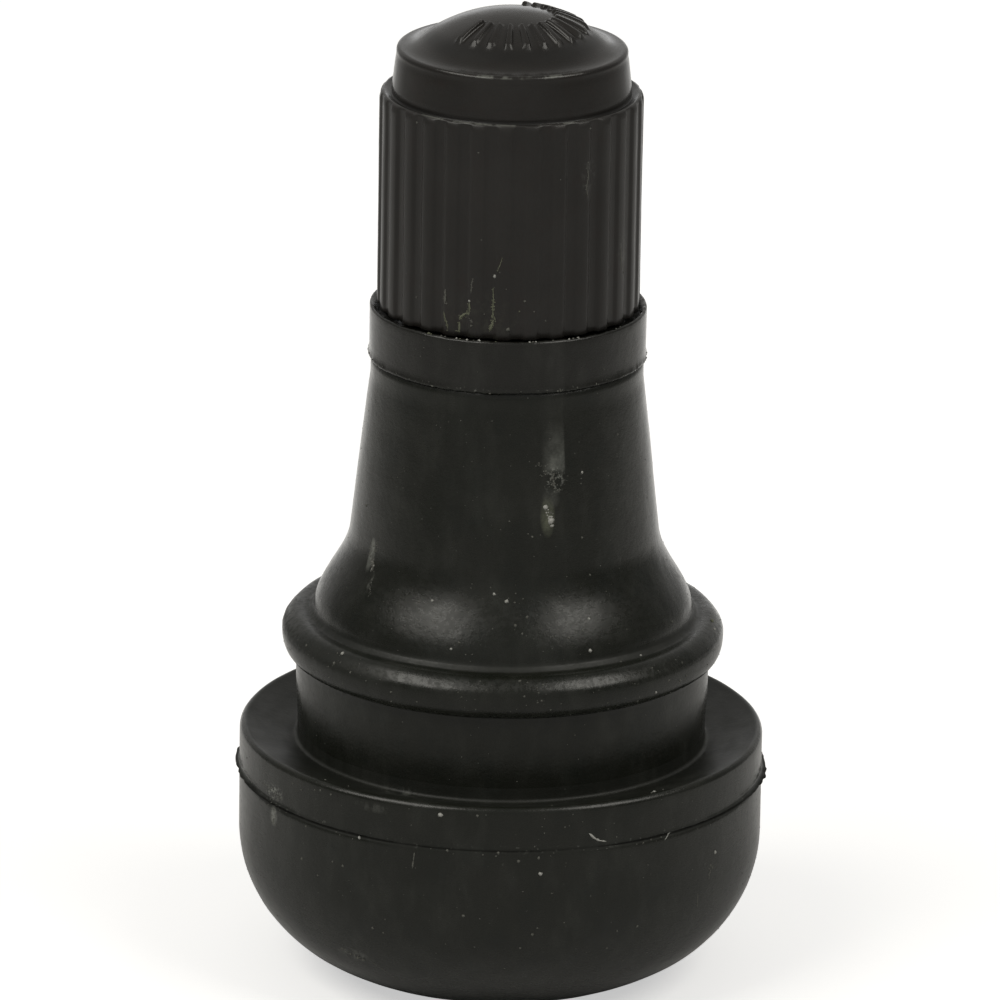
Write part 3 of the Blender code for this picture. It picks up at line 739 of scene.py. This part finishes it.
def stem_change(radius, height, angle, out_r, out_z):
    threaded = (np.abs(radius - THREAD_R) < 0.01) & (height > COLLAR_TOP - THREAD_SUNK)
    drop = thread_drop(height, angle, THREAD_PITCH, THREAD_DEPTH)
    start = np.clip((height - COLLAR_TOP + THREAD_SUNK) / 0.5, 0, 1)
    chamfer = MOUTH_R + (THREAD_R - MOUTH_R) * (MOUTH_Z - height) / MOUTH_CHAMFER
    cut = np.minimum(THREAD_R - drop * start, chamfer)
    return np.where(threaded, cut, radius), height


def stem_piece():
    piece = turned("stem_brass", stem_outline(), even(STEM_SIDES), stem_change)
    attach(piece, "valve_body")
    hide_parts("brass_stem")
    piece.data.materials.append(metal_material("turned_brass", STEM_BRASS, 0.3))


def coil(name, radius, wire, low, high, turns):
    """A round wire wound about Z, its middle rising from low to high."""
    steps, sides = turns * WIRE_STEPS, WIRE_SIDES
    points, faces = [], []
    for i in range(steps + 1):
        angle = 2 * pi * turns * i / steps
        middle = low + (high - low) * i / steps
        for k in range(sides):
            turn = 2 * pi * k / sides
            reach = radius + wire * cos(turn)
            place = (reach * cos(angle), reach * sin(angle), middle + wire * sin(turn))
            points.append(tuple(length * MM for length in place))
    for i in range(steps):
        for k in range(sides):
            here, there = i * sides + k, i * sides + (k + 1) % sides
            faces.append((here, here + sides, there + sides, there))
    faces.append(tuple(range(sides)))
    faces.append(tuple(range(steps * sides, (steps + 1) * sides))[::-1])
    data = bpy.data.meshes.new(name)
    data.from_pydata(points, [], faces)
    data.polygons.foreach_set("use_smooth", [len(face) == 4 for face in faces])
    return linked(name, data)


def spring_piece():
    """The core's spring, a coil that rides with the core; the real one shortens as the pin is pressed, this
    coil keeps its length.
    """
    low, high = (corner[2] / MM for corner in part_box("core_spring"))
    piece = coil("spring_coil", SPRING_R, WIRE_R, low + WIRE_R, high - WIRE_R, SPRING_TURNS)
    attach(piece, "core")
    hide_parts("core_spring")
    piece.data.materials.append(metal_material("spring_steel", SPRING_STEEL, 0.25))
    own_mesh(piece)


# Dust cap

def dome_line(start):
    """The crown's top, bent up from start into the dome's ball, to the axis."""
    ball = CROWN_TOP + DOME_H - DOME_BALL_R
    meets = sqrt(DOME_BALL_R ** 2 - DOME_R ** 2)
    tilt = DOME_R / meets
    arrive = (DOME_R + DOME_PULL, ball + meets - tilt * DOME_PULL)
    line = bend((start, CROWN_TOP), (start - DOME_PULL, CROWN_TOP), arrive, (DOME_R, ball + meets), 10)
    for i in range(1, DOME_STEPS):
        reach = DOME_R * (1 - i / DOME_STEPS)
        line.append((reach, ball + sqrt(DOME_BALL_R ** 2 - reach ** 2)))
    return line + [(0, ball + DOME_BALL_R)]


def cap_outline():
    line = off((CAP_ENTRY_R, CAP_FOOT), (0, 0.1), (0.08, 0))
    line += off((SKIRT_R, CAP_FOOT), (-0.05, 0), (0, 0.05), (0, 0.3))
    line += [(SKIRT_R, SKIRT_TOP - down) for down in (0.5, 0.32, 0.22, 0.14)]
    line += arc((SKIRT_R - SKIRT_EDGE, SKIRT_TOP - SKIRT_EDGE), SKIRT_EDGE, SKIRT_EDGE, 0, 90, 5)
    # the shelf falls a little to a sharp corner at the crown's foot
    line += [(SKIRT_R - 0.12, SKIRT_TOP - 0.01), (CROWN_R + 0.02, SKIRT_TOP - SHELF_DROP)]
    line += [(CROWN_R - 0.02, SKIRT_TOP - SHELF_DROP + 0.01), (CROWN_R, SKIRT_TOP + 0.05)]
    # a shallow hollow under the crown's rim
    for below, hollow in ((0.6, 0), (0.44, 0.004), (0.34, 0.01), (0.26, 0.011), (0.2, 0.006), (0.16, 0)):
        share = (CROWN_TOP - below - SKIRT_TOP) / (CROWN_H - CROWN_ROUND)
        line.append((CROWN_R + (CROWN_TOP_R - CROWN_R) * share - hollow, CROWN_TOP - below))
    edge = (CROWN_TOP_R - CROWN_ROUND, CROWN_TOP - CROWN_ROUND)
    line += arc(edge, CROWN_ROUND, CROWN_ROUND, 0, 90, 6)
    line += dome_line(CROWN_TOP_R - CROWN_ROUND - 0.05)
    return filled(line, CAP_STEP)


def cap_inside():
    """The relief in the roof, the washer's chamber and the threaded bore, downwards."""
    chamber = MOUTH_Z - MOUTH_CHAMFER / 3
    bore = THREAD_R + THREAD_PLAY
    foot = CAP_FOOT + CAP_ENTRY_H
    rows = int((chamber - foot) / (THREAD_PITCH / CAP_THREAD_ROWS))
    roof = CEILING + RELIEF_H
    line = [(0, roof), (RELIEF_R - 0.1, roof), (RELIEF_R, roof - 0.1)]
    line += [(RELIEF_R, CEILING), (CHAMBER_R, CEILING), (CHAMBER_R, chamber)]
    line += [(bore, chamber - (chamber - foot) * i / rows) for i in range(rows + 1)]
    return line + [(CAP_ENTRY_R, foot - 0.12)]


def ribs(angle):
    """Each point's share of its rib's height, from 0 to 1, and the rib's number."""
    pitch = 2 * pi / RIBS
    turn = np.mod(angle - RIB_PHASE + pitch / 2, pitch) - pitch / 2
    flank = (RIB_FOOT - RIB_TOP) / 2
    rib = np.clip((RIB_FOOT / 2 - np.abs(turn)) / flank, 0, 1)
    return rib * rib * (3 - 2 * rib), np.floor((angle - RIB_PHASE + pitch / 2) / pitch)


def dome_bars(radius, angle):
    """1 on a bar of the dome, down to 0 beside it."""
    half_arc = BAR_COUNT * BAR_PITCH / 2
    span = np.mod(angle - BAR_MIDDLE + pi, 2 * pi) - pi
    turn = np.mod(span + half_arc, BAR_PITCH) - BAR_PITCH / 2
    bar = np.clip((BAR_WIDTH / 2 - np.abs(turn)) / BAR_FLANK, 0, 1) * (np.abs(span) < half_arc)
    inner_end = np.clip((radius - BAR_INNER) / BAR_END, 0, 1)
    return bar * (inner_end * np.clip((BAR_OUTER - radius) / BAR_END, 0, 1))


def cap_change(radius, height, angle, out_r, out_z):
    """The skirt's ribs, the dome's bars, the skin's small waves and the thread inside."""
    rib, number = ribs(angle)
    skirt = (radius > CAP_ENTRY_R + 0.3) & (height < SKIRT_TOP + 0.001)
    uneven = 1 + 0.12 * np.sin(number * 2.7) + 0.08 * np.sin(number * 7.1)
    # the ribs' top ends are bevelled, and their feet end at slightly different heights
    bevel = np.clip((SKIRT_TOP - 0.02 - height) / RIB_BEVEL, 0, 1) ** 0.6
    new_radius = radius + skirt * rib * RIB_DEPTH * uneven * bevel
    foot = skirt * rib * near(height, CAP_FOOT, 0.1)
    new_height = height - foot * (0.02 + 0.02 * np.sin(number * 3.1))
    top = height > CROWN_TOP + 0.02
    new_height += top * dome_bars(radius, angle) * BAR_RISE
    outside = (radius > CAP_ENTRY_R) | top
    wave = waves(radius, height, angle, CAP_WAVES)
    new_radius += outside * wave * out_r
    new_height += outside * wave * out_z
    # the thread inside, in step with the stem's
    bore = THREAD_R + THREAD_PLAY
    threaded = (np.abs(radius - bore) < 0.01) & (height < MOUTH_Z) & (height > CAP_FOOT + 1)
    drop = thread_drop(height, angle, THREAD_PITCH, THREAD_DEPTH)
    start = np.clip((height - CAP_FOOT - CAP_ENTRY_H) / 0.4, 0, 1)
    return np.where(threaded, bore - drop * start, new_radius), new_height


def rib_turns():
    """Columns that gather at the edges of the ribs, their steps in degrees."""
    steps = [-6.0, -4.6, -4.2, -3.7, -3.2, -2.7, -2.0, 0.0, 2.0, 2.7, 3.2, 3.7, 4.2, 4.6]
    turn = 360.0 / RIBS
    return np.array([RIB_PHASE + radians(turn * rib + step) for rib in range(RIBS) for step in steps])


def cap_piece():
    piece = turned("cap_shell", cap_outline() + cap_inside(), rib_turns(), cap_change)
    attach(piece, "cap")
    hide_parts("dust_cap")
    piece.data.materials.append(plastic_material())
    cap_dust(piece)

# Dust and marks: angle in degrees and height in millimetres

def dust_materials():
    """The grains' materials, after the skin's own; their places are the kinds 1, 2 and 3."""
    return [bpy.data.materials.get(name) or plain_material(name, colour, 0.85)
            for name, colour in GRAIN_COLOURS.items()]


def rubber_dust(piece):
    dust = Dust(piece, RUBBER_SEED)
    for grain in RUBBER_GRAINS + SEAT_GRAINS:
        dust.grain(*grain)
    for angle, size, kind in COLLAR_CRUMBS:
        dust.grain(angle, COLLAR_TOP, size, kind, COLLAR_R - 0.09)
    for streak in RUBBER_SMEARS:
        dust.smear(*streak)
    for streak in RUBBER_TRAILS:
        dust.trail(*streak)
    chance = dust.random
    for low, high, spread, count, size in LOOSE_DUST:
        for _ in range(count):
            angle = chance.uniform(-spread, spread)
            dust.grain(angle, chance.uniform(low, high), size * chance.uniform(0.5, 1.3), PALE)
    # crumbs in the lip under the collar
    for _ in range(LIP_CRUMBS):
        angle = chance.uniform(-180, 180)
        dust.grain(angle, COLLAR_Z + chance.uniform(-0.02, 0.12), chance.uniform(0.03, 0.09), PALE)
    dust.settle(dust_materials())


def cap_dust(piece):
    dust = Dust(piece, CAP_SEED)
    for grain in CAP_GRAINS:
        dust.grain(*grain)
    for path, width, kind in CAP_TRAILS:
        dust.smear(path, width * 0.8, kind, rise=0.12, uneven=0.6)
        dust.trail(path, width, kind)
    dust.settle(dust_materials())


# Materials

class Nodes:
    """A tree's nodes, added one by one and joined by their sockets."""

    def __init__(self, tree):
        self.tree = tree

    def add(self, kind, settings=None, inputs=None):
        node = self.tree.nodes.new("ShaderNode" + kind)
        for key, value in (settings or {}).items():
            setattr(node, key, value)
        for key, value in (inputs or {}).items():
            self.feed(node.inputs[key], value)
        return node

    def feed(self, socket, value):
        if isinstance(value, bpy.types.NodeSocket):
            self.tree.links.new(value, socket)
        else:
            socket.default_value = value

    def math(self, way, *values, clamp=False):
        node = self.add("Math", {"operation": way, "use_clamp": clamp})
        for socket, value in zip(node.inputs, values):
            self.feed(socket, value)
        return node.outputs[0]

    def chain(self, way, values):
        total = values[0]
        for value in values[1:]:
            total = self.math(way, total, value)
        return total

    def sum(self, *values):
        return self.chain("ADD", values)

    def product(self, *values):
        return self.chain("MULTIPLY", values)

    def largest(self, *values):
        return self.chain("MAXIMUM", values)

    def weighed(self, start, *parts):
        """start and, added to it, each (value, weight) multiplied."""
        return self.sum(start, *(self.product(value, weight) for value, weight in parts))

    def ramp(self, value, low, high, to_low=0.0, to_high=1.0):
        """value from low to high, smoothly turned into a share from to_low to to_high."""
        settings = {"interpolation_type": "SMOOTHSTEP"}
        inputs = {"Value": value, "From Min": low, "From Max": high, "To Min": to_low, "To Max": to_high}
        return self.add("MapRange", settings, inputs).outputs["Result"]

    def seen(self, share):
        """1 for the camera's own rays, and share for those that come by a mirror or through glass."""
        path = self.add("LightPath").outputs
        mirrored = self.largest(path["Is Glossy Ray"], path["Is Transmission Ray"])
        return self.largest(path["Is Camera Ray"], self.product(mirrored, share))


class Recipe(Nodes):
    """A material's nodes, with places in millimetres and angles in radians."""

    def __init__(self, name):
        self.material = bpy.data.materials.new(name)
        self.material.use_nodes = True
        super().__init__(self.material.node_tree)
        self.shader = self.tree.nodes["Principled BSDF"]
        place = self.add("TexCoord").outputs["Object"]
        scaled = self.add("VectorMath", {"operation": "SCALE"}, {0: place, "Scale": 1 / MM})
        self.place = scaled.outputs[0]
        self.x, self.y, self.height = self.add("SeparateXYZ", inputs={0: self.place}).outputs
        self.angle = self.math("ARCTAN2", self.x, self.product(self.y, -1))
        across = self.sum(self.product(self.x, self.x), self.product(self.y, self.y))
        self.radius = self.math("SQRT", across)

    # slopes over the height, the radius and the angle in degrees

    def up(self, *slope):
        return self.ramp(self.height, *slope)

    def out(self, *slope):
        return self.ramp(self.radius, *slope)

    def across(self, start, end):
        return self.ramp(self.angle, radians(start), radians(end))

    def finish(self, inputs):
        """The material, with its shader's sockets fed."""
        for key, value in inputs.items():
            self.feed(self.shader.inputs[key], value)
        return self.material

    def noise(self, scale, detail=3.0, rough=0.5, stretch=None):
        place = self.place
        if stretch:
            stretched = self.add("VectorMath", {"operation": "MULTIPLY"}, {0: place, 1: stretch})
            place = stretched.outputs[0]
        inputs = {"Vector": place, "Scale": scale, "Detail": detail, "Roughness": rough}
        return self.add("TexNoise", inputs=inputs).outputs["Fac"]

    def wrapped_noise(self, around, up, detail=3.0, rough=0.55):
        """Noise drawn out along the turning direction, with cells per millimetre at a radius of 7."""
        turn = self.product(self.angle, 7.0 * around)
        place = self.add("CombineXYZ", inputs={0: turn, 1: self.product(self.height, up)})
        inputs = {"Vector": place.outputs[0], "Scale": 1.0, "Detail": detail, "Roughness": rough}
        return self.add("TexNoise", inputs=inputs).outputs["Fac"]

    def specks(self, scale, size, share, seed):
        """Separate round specks: scale per millimetre, size as a share of the cell, share of cells."""
        moved = {0: self.place, 1: (seed, seed, seed)}
        shifted = self.add("VectorMath", {"operation": "ADD"}, moved)
        cells = self.add("TexVoronoi", inputs={"Vector": shifted.outputs[0], "Scale": scale})
        pick = self.add("SeparateColor", inputs={0: cells.outputs["Color"]})
        chosen = self.math("LESS_THAN", pick.outputs[0], share)
        reach = self.product(self.sum(pick.outputs[1], 0.4), size)
        away = self.math("DIVIDE", cells.outputs["Distance"], reach)
        return self.product(chosen, self.math("POWER", self.math("SUBTRACT", 1, away, clamp=True), 0.6))

    def patch(self, angle, height, wide, tall, radius):
        """1 in the middle of a spot given by its angle in degrees and height, down to 0 at its edge."""
        turn = self.math("SUBTRACT", self.angle, radians(angle))
        across = self.math("DIVIDE", self.product(turn, radius), wide)
        along = self.math("DIVIDE", self.math("SUBTRACT", self.height, height), tall)
        away = self.sum(self.product(across, across), self.product(along, along))
        return self.math("SUBTRACT", 1, away, clamp=True)

    def band(self, height, width):
        """1 at a height, down to 0 at width above and below it."""
        away = self.math("ABSOLUTE", self.math("SUBTRACT", self.height, height))
        return self.math("SUBTRACT", 1, self.math("DIVIDE", away, width), clamp=True)

    def ring(self, height, width, edge, full):
        """A band at a height, only past an edge radius, and in full from the radius full on."""
        return self.product(self.band(height, width), self.out(edge, full))

    def grazing(self):
        """1 where the skin is seen edge on, 0 elsewhere."""
        facing = self.add("LayerWeight", inputs={"Blend": 0.5}).outputs["Facing"]
        return self.ramp(facing, 0.62, 0.95)

    def blend(self, share, first, second):
        node = self.add("Mix", {"data_type": "RGBA"}, {0: share, 6: first, 7: second})
        return node.outputs[2]

    def layered(self, colour, *layers):
        """A colour under others, each given as (share, colour)."""
        for share, over in layers:
            colour = self.blend(share, colour, over)
        return colour

    def bump(self, height, strength, distance):
        inputs = {"Height": height, "Strength": strength, "Distance": distance * MM}
        return self.add("Bump", inputs=inputs).outputs["Normal"]


def plain_material(name, colour, roughness=0.5):
    return Recipe(name).finish({"Base Color": colour, "Roughness": roughness})


def rubber_films(made):
    """Shares of pale and of greenish film where the skin is rubbed."""
    textures = {
        "broken": made.ramp(made.noise(3.6, 4.0, 0.65, stretch=(1, 1, 0.6)), 0.42, 0.66),
        "flecks": made.ramp(made.noise(8.0, 3.0, 0.6), 0.5, 0.66),
        "soft": made.ramp(made.noise(2.2, 5.0, 0.7, stretch=(1, 1, 0.7)), 0.3, 0.72, 0.25, 1.0),
    }
    # a tall film that grows paler downwards and ends sharply on its right
    left, right = made.across(13.5, 19), made.across(24.6, 23.6)
    top, foot = made.up(22.4, 20.8, 0.03, 0.42), made.up(20.3, 20.6)
    tall = made.product(left, right, top, foot, textures["soft"], made.out(4.5, 4.6))
    spots = []
    for *place, texture, share in RUBBER_FILMS + [RUBBER_GREEN_FILM]:
        spots.append(made.product(made.patch(*place), textures[texture], share))
    return made.sum(tall, *spots[:-1]), spots[-1]


def flash_stain_and_shade(made):
    """Darkening of the flash round the base: painted shade in its groove and on the fin's underside, partly
    dark stains, and a dark clot on its left.
    """
    fin = made.ring(BASE_LIP_Z - 0.05, 0.12, BASE_R + 0.03, BASE_R + 0.06)
    # painted shade in the groove under the fin
    crack = made.ring(BASE_LIP_Z - 0.08, 0.13, BASE_R - 0.002, BASE_R - 0.03)
    torn = made.ramp(made.noise(5.5, 3.0, 0.7), 0.4, 0.5)
    clot = made.patch(-69.0, BASE_LIP_Z - 0.03, 1.1, 0.19, BASE_R)
    return made.largest(fin, crack, made.product(clot, torn))


def skin_dust(made):
    """Fine specks all over, and dust on the lips of both parting lines."""
    lips = made.largest(made.band(BASE_LIP_Z, 0.2), made.band(COLLAR_Z + 0.05, 0.16))
    on_lips = made.product(lips, made.ramp(made.noise(5.0, 3.0, 0.7), 0.6, 0.72), 0.5)
    return made.largest(made.product(made.specks(3.2, 0.08, 0.10, 3.0), 0.3), on_lips)


def rubber_colour(made, cloud, dust, stain_and_shade, films):
    blotch = made.noise(0.8, 4.0, 0.6)
    smear = made.noise(1.1, 4.0, 0.6, stretch=(1, 1, 0.45))
    pale, green = films
    groove_dust = made.product(made.ring(BEAD_FOOT + 0.12, 0.2, 8.1, 8.0), 0.05)
    film = made.product(made.ramp(smear, 0.42, 0.8), 0.04)
    return made.layered(
        made.blend(made.ramp(cloud, 0.35, 0.7), RUBBER_DARK, RUBBER_LIGHT),
        (made.ramp(blotch, 0.45, 0.75, 0.0, 0.6), RUBBER_BLOTCH),
        (made.up(COLLAR_Z, COLLAR_Z + 0.1), COLLAR_COLOUR),
        (groove_dust, DUST), (film, DUST), (pale, DUST), (green, GREEN_DUST), (dust, DUST),
        # painted shade in the flash's groove and under its fin, partly dark stains
        (stain_and_shade, FLASH_STAIN_AND_SHADE))


def rubber_roughness(made, cloud, grain, dust, stain_and_shade):
    """Duller in dust, on the flash and in its groove, in the seat's dish and in patches of the bead and
    cone; glossier at grazing angles.
    """
    streaks = made.wrapped_noise(0.9, 6.0, 4.0, 0.65)
    patchy = made.ramp(made.noise(4.6, 4.0, 0.72), 0.44, 0.62)
    shines = made.largest(made.band(BEAD_LINE + 0.5, 0.7), made.product(made.band(15.2, 2.2), 0.45))
    polish = made.product(made.band(BEAD_LINE + 0.5, 0.4), made.ramp(streaks, 0.35, 0.65))
    flash = made.ring(BASE_LIP_Z - 0.05, 0.17, 9.3, 9.4)
    left_bead = made.product(made.band(BEAD_LINE + 0.4, 0.5), made.across(-27, -36))
    cone_edge = made.ring(BEAD_TOP + 0.1, 0.2, FLARE_R + 0.4, FLARE_R + 0.25)
    dish = made.product(made.up(BASE_H - 0.52, BASE_H - 0.46), made.up(BASE_H + 0.14, BASE_H + 0.1),
                        made.out(BASE_R - 0.1, BASE_R - 0.3))
    neck = made.product(made.up(BEAD_FOOT + 0.1, BEAD_FOOT - 0.3), made.up(BASE_H + 0.1, BASE_H + 0.2))
    return made.weighed(
        0.18, (cloud, 0.10), (grain, 0.04), (dust, 0.4), (flash, 0.5), (left_bead, 0.3), (stain_and_shade, 0.5),
        (dish, 0.27), (made.product(shines, patchy), 0.2), (cone_edge, 0.22), (made.grazing(), -0.12),
        (polish, -0.07), (neck, 0.08), (made.ramp(streaks, 0.4, 0.7), 0.05))


def rubber_material():
    made = Recipe("moulded_rubber")
    cloud = made.noise(0.35, 5.0, 0.55)
    grain = made.noise(9.0, 3.0, 0.6)
    pores = made.noise(26.0, 2.0, 0.5)
    mottle = made.noise(2.4, 5.0, 0.68)
    dust = skin_dust(made)
    stain_and_shade = flash_stain_and_shade(made)
    films = rubber_films(made)
    relief = made.weighed(0.0, (grain, 0.6), (pores, 0.25), (dust, 1.2), (films[0], -1.5), (mottle, 2.2))
    return made.finish({
        "Base Color": rubber_colour(made, cloud, dust, stain_and_shade, films),
        "Roughness": rubber_roughness(made, cloud, grain, dust, stain_and_shade),
        "Specular IOR Level": 0.5,
        "Normal": made.bump(relief, 0.5, 0.012)})


def edge_highlights(made):
    """Painted highlights in dashes, in front, on the crown's rim and on the ribs' top ends."""
    dashes = made.ramp(made.wrapped_noise(0.75, 1.5, 3.0, 0.6), 0.5, 0.6)
    near_rim = made.ramp(made.math("ABSOLUTE", made.math("SUBTRACT", made.angle, 0.1)), 0.6, 0.4)
    near_ends = made.ramp(made.math("ABSOLUTE", made.angle), 0.85, 0.65)
    # painted highlight on the crown's rim, toward the front
    rim = made.product(made.ring(CROWN_TOP - 0.05, 0.07, 4.02, 4.08), dashes, near_rim, 0.45)
    return rim, made.product(made.ring(SKIRT_TOP + 0.02, 0.075, 4.58, 4.62), dashes, near_ends, 0.6)


def plastic_colour(made, cloud, dull_shaded_foot):
    blotch = made.noise(1.3, 4.0, 0.6)
    broken = made.ramp(made.noise(4.5, 4.0, 0.65), 0.45, 0.68)
    scratches = made.largest(*(made.patch(*place) for place in CAP_SCRATCHES))
    # painted shade where the crown's foot meets the shelf
    crown_foot_shade = made.product(made.up(SKIRT_TOP + 0.1, SKIRT_TOP - 0.02), made.out(SKIRT_R - 0.08, SKIRT_R - 0.14))
    rim, ends = edge_highlights(made)
    return made.layered(
        made.blend(made.ramp(cloud, 0.35, 0.7), PLASTIC_DARK, PLASTIC_LIGHT),
        (made.ramp(blotch, 0.5, 0.75, 0.0, 0.5), PLASTIC_BLOTCH),
        (made.product(made.specks(3.0, 0.09, 0.06, 5.0), 0.3), DUST),
        (made.product(made.patch(*CAP_HAZE), broken, 0.045), GREEN_DUST),
        (made.product(scratches, broken, 0.16), DUST),
        # painted shade on the dome's foot and at the crown's foot
        (made.product(made.sum(dull_shaded_foot, crown_foot_shade), 0.6), CAP_SHADE),
        # painted highlights in the dust colour on the crown's rim and the ribs' top ends
        (rim, DUST), (ends, DUST))


def plastic_material():
    made = Recipe("moulded_plastic")
    cloud = made.noise(0.5, 5.0, 0.55)
    grain = made.noise(12.0, 3.0, 0.6)
    # the dome's foot is duller, and its colour is darkened there as painted shade in its hollow
    dull_shaded_foot = made.product(made.out(2.5, 2.95), made.out(3.5, 3.05), made.up(CROWN_TOP - 0.05, CROWN_TOP))
    crown = made.up(SKIRT_TOP - 0.05, SKIRT_TOP + 0.25)
    shelf = made.ring(SKIRT_TOP, 0.1, 4.7, 4.62)
    rough = made.weighed(0.34, (cloud, 0.12), (crown, -0.15), (shelf, -0.12), (made.grazing(), -0.12),
                         (dull_shaded_foot, 0.1))
    return made.finish({"Base Color": plastic_colour(made, cloud, dull_shaded_foot), "Roughness": rough,
                        "Specular IOR Level": 0.5, "Normal": made.bump(grain, 0.4, 0.01)})


def metal_material(name, colour, roughness):
    """Turned metal: fine rings round the axis and a slightly uneven tone."""
    made = Recipe(name)
    turning = made.noise(2.0, 4.0, 0.6, stretch=(0.2, 0.2, 14))
    tone = made.ramp(made.noise(1.5, 4.0, 0.6), 0.35, 0.75)
    darker = tuple(c * 0.72 for c in colour) + (1,)
    return made.finish({"Base Color": made.blend(tone, darker, colour + (1,)), "Metallic": 1,
                        "Roughness": made.weighed(roughness - 0.06, (turning, 0.18)),
                        "Normal": made.bump(turning, 0.25, 0.01)})


def inner_finishes():
    """Materials for the CAD nodes that keep their own shapes."""
    brass = metal_material("core_brass", CORE_BRASS, 0.32)
    gasket = plain_material("gasket_red", GASKET_RED)
    seal = plain_material("seal_black", SEAL_BLACK)
    finishes = {"core_plug": brass, "core_barrel": brass, "core_pin": brass, "plunger_cup": brass,
                "barrel_gasket": gasket, "plunger_seal": seal, "cap_seal": seal}
    for name, finish in finishes.items():
        frame["nodes"][name].data.materials.clear()
        frame["nodes"][name].data.materials.append(finish)


# Stage

def camera():
    data = bpy.data.cameras.new("camera")
    data.lens = LENS
    data.sensor_width = SENSOR
    data.clip_start = CLIP_START
    eye = linked("camera", data)
    target = Vector((VIEW_SIDE, 0, VIEW_HEIGHT)) * MM
    away = Vector((0, -cos(VIEW_ELEVATION), sin(VIEW_ELEVATION)))
    eye.location = target + away * VIEW_DISTANCE * MM
    turn = away.to_track_quat("Z", "Y").to_matrix().to_4x4()
    roll = Vector((0, 0, 1))
    eye.matrix_world = Matrix.Translation(eye.location) @ turn @ Matrix.Rotation(VIEW_ROLL, 4, roll)
    bpy.context.scene.camera = eye


def softbox(name, azimuth, elevation, wide, tall, power):
    """An area lamp that looks at the valve; azimuth is turned from the camera's side."""
    data = bpy.data.lights.new(name, "AREA")
    data.shape = "RECTANGLE"
    data.size = wide
    data.size_y = tall
    data.energy = power
    data.color = LAMP_WHITE
    lamp = linked(name, data)
    a, e = radians(azimuth), radians(elevation)
    way = Vector((sin(a) * cos(e), -cos(a) * cos(e), sin(e)))
    lamp.location = Vector((0, 0, LAMP_AIM)) + way * LAMP_DISTANCE
    lamp.rotation_mode = "QUATERNION"
    lamp.rotation_quaternion = way.to_track_quat("Z", "Y")


def world():
    """A dim studio that is bright behind the valve, and white behind it for the camera and in mirrors."""
    sky = bpy.data.worlds.new("studio")
    bpy.context.scene.world = sky
    sky.use_nodes = True
    sky.node_tree.nodes.clear()
    made = Nodes(sky.node_tree)
    place = made.add("TexCoord").outputs["Generated"]
    across, back, up = made.add("SeparateXYZ", inputs={0: place}).outputs
    sideways = made.ramp(made.math("ABSOLUTE", across), *TO_THE_SIDES)
    strength = made.product(made.ramp(back, *FRONT_TO_BACK), sideways, made.ramp(up, *UPWARDS))
    light = made.add("Background", inputs={"Color": STUDIO_WHITE, "Strength": strength})
    white = made.add("Background", inputs={"Color": PURE_WHITE})
    seen = made.seen(made.ramp(back, *SKY_IN_MIRRORS))
    pick = made.add("MixShader", inputs={0: seen, 1: light.outputs[0], 2: white.outputs[0]})
    made.add("OutputWorld", inputs={0: pick.outputs[0]})


def floor():
    """White paper for the camera, dimmer paper for the light that it throws on the valve."""
    half = FLOOR_HALF * MM
    data = bpy.data.meshes.new("floor")
    corners = [(-half, -half, 0), (half, -half, 0), (half, half, 0), (-half, half, 0)]
    data.from_pydata(corners, [], [(0, 1, 2, 3)])
    piece = linked("floor", data)
    made = Recipe("floor_paper")
    lit = made.blend(made.ramp(made.y, *FLOOR_BRIGHTENS), FLOOR_FRONT, FLOOR_SEEN)
    lit = made.blend(made.ramp(made.radius, *FLOOR_DIMS), lit, FLOOR_DIM)
    behind = made.ramp(made.math("ABSOLUTE", made.angle), *FLOOR_MIRROR_TURN)
    seen = made.seen(made.product(behind, made.ramp(made.radius, *FLOOR_MIRROR_REACH)))
    paper = {"Base Color": made.blend(seen, lit, FLOOR_SEEN), "Roughness": 0.9, "Specular IOR Level": 0.0}
    glow = {"Emission Color": PURE_WHITE, "Emission Strength": made.product(seen, FLOOR_GLOW)}
    data.materials.append(made.finish(paper | glow))


camera()
world()
for lamp in LAMPS:
    softbox(*lamp)
floor()
rubber_piece()
stem_piece()
spring_piece()
cap_piece()
inner_finishes()
bpy.context.scene.view_settings.view_transform = "Standard"
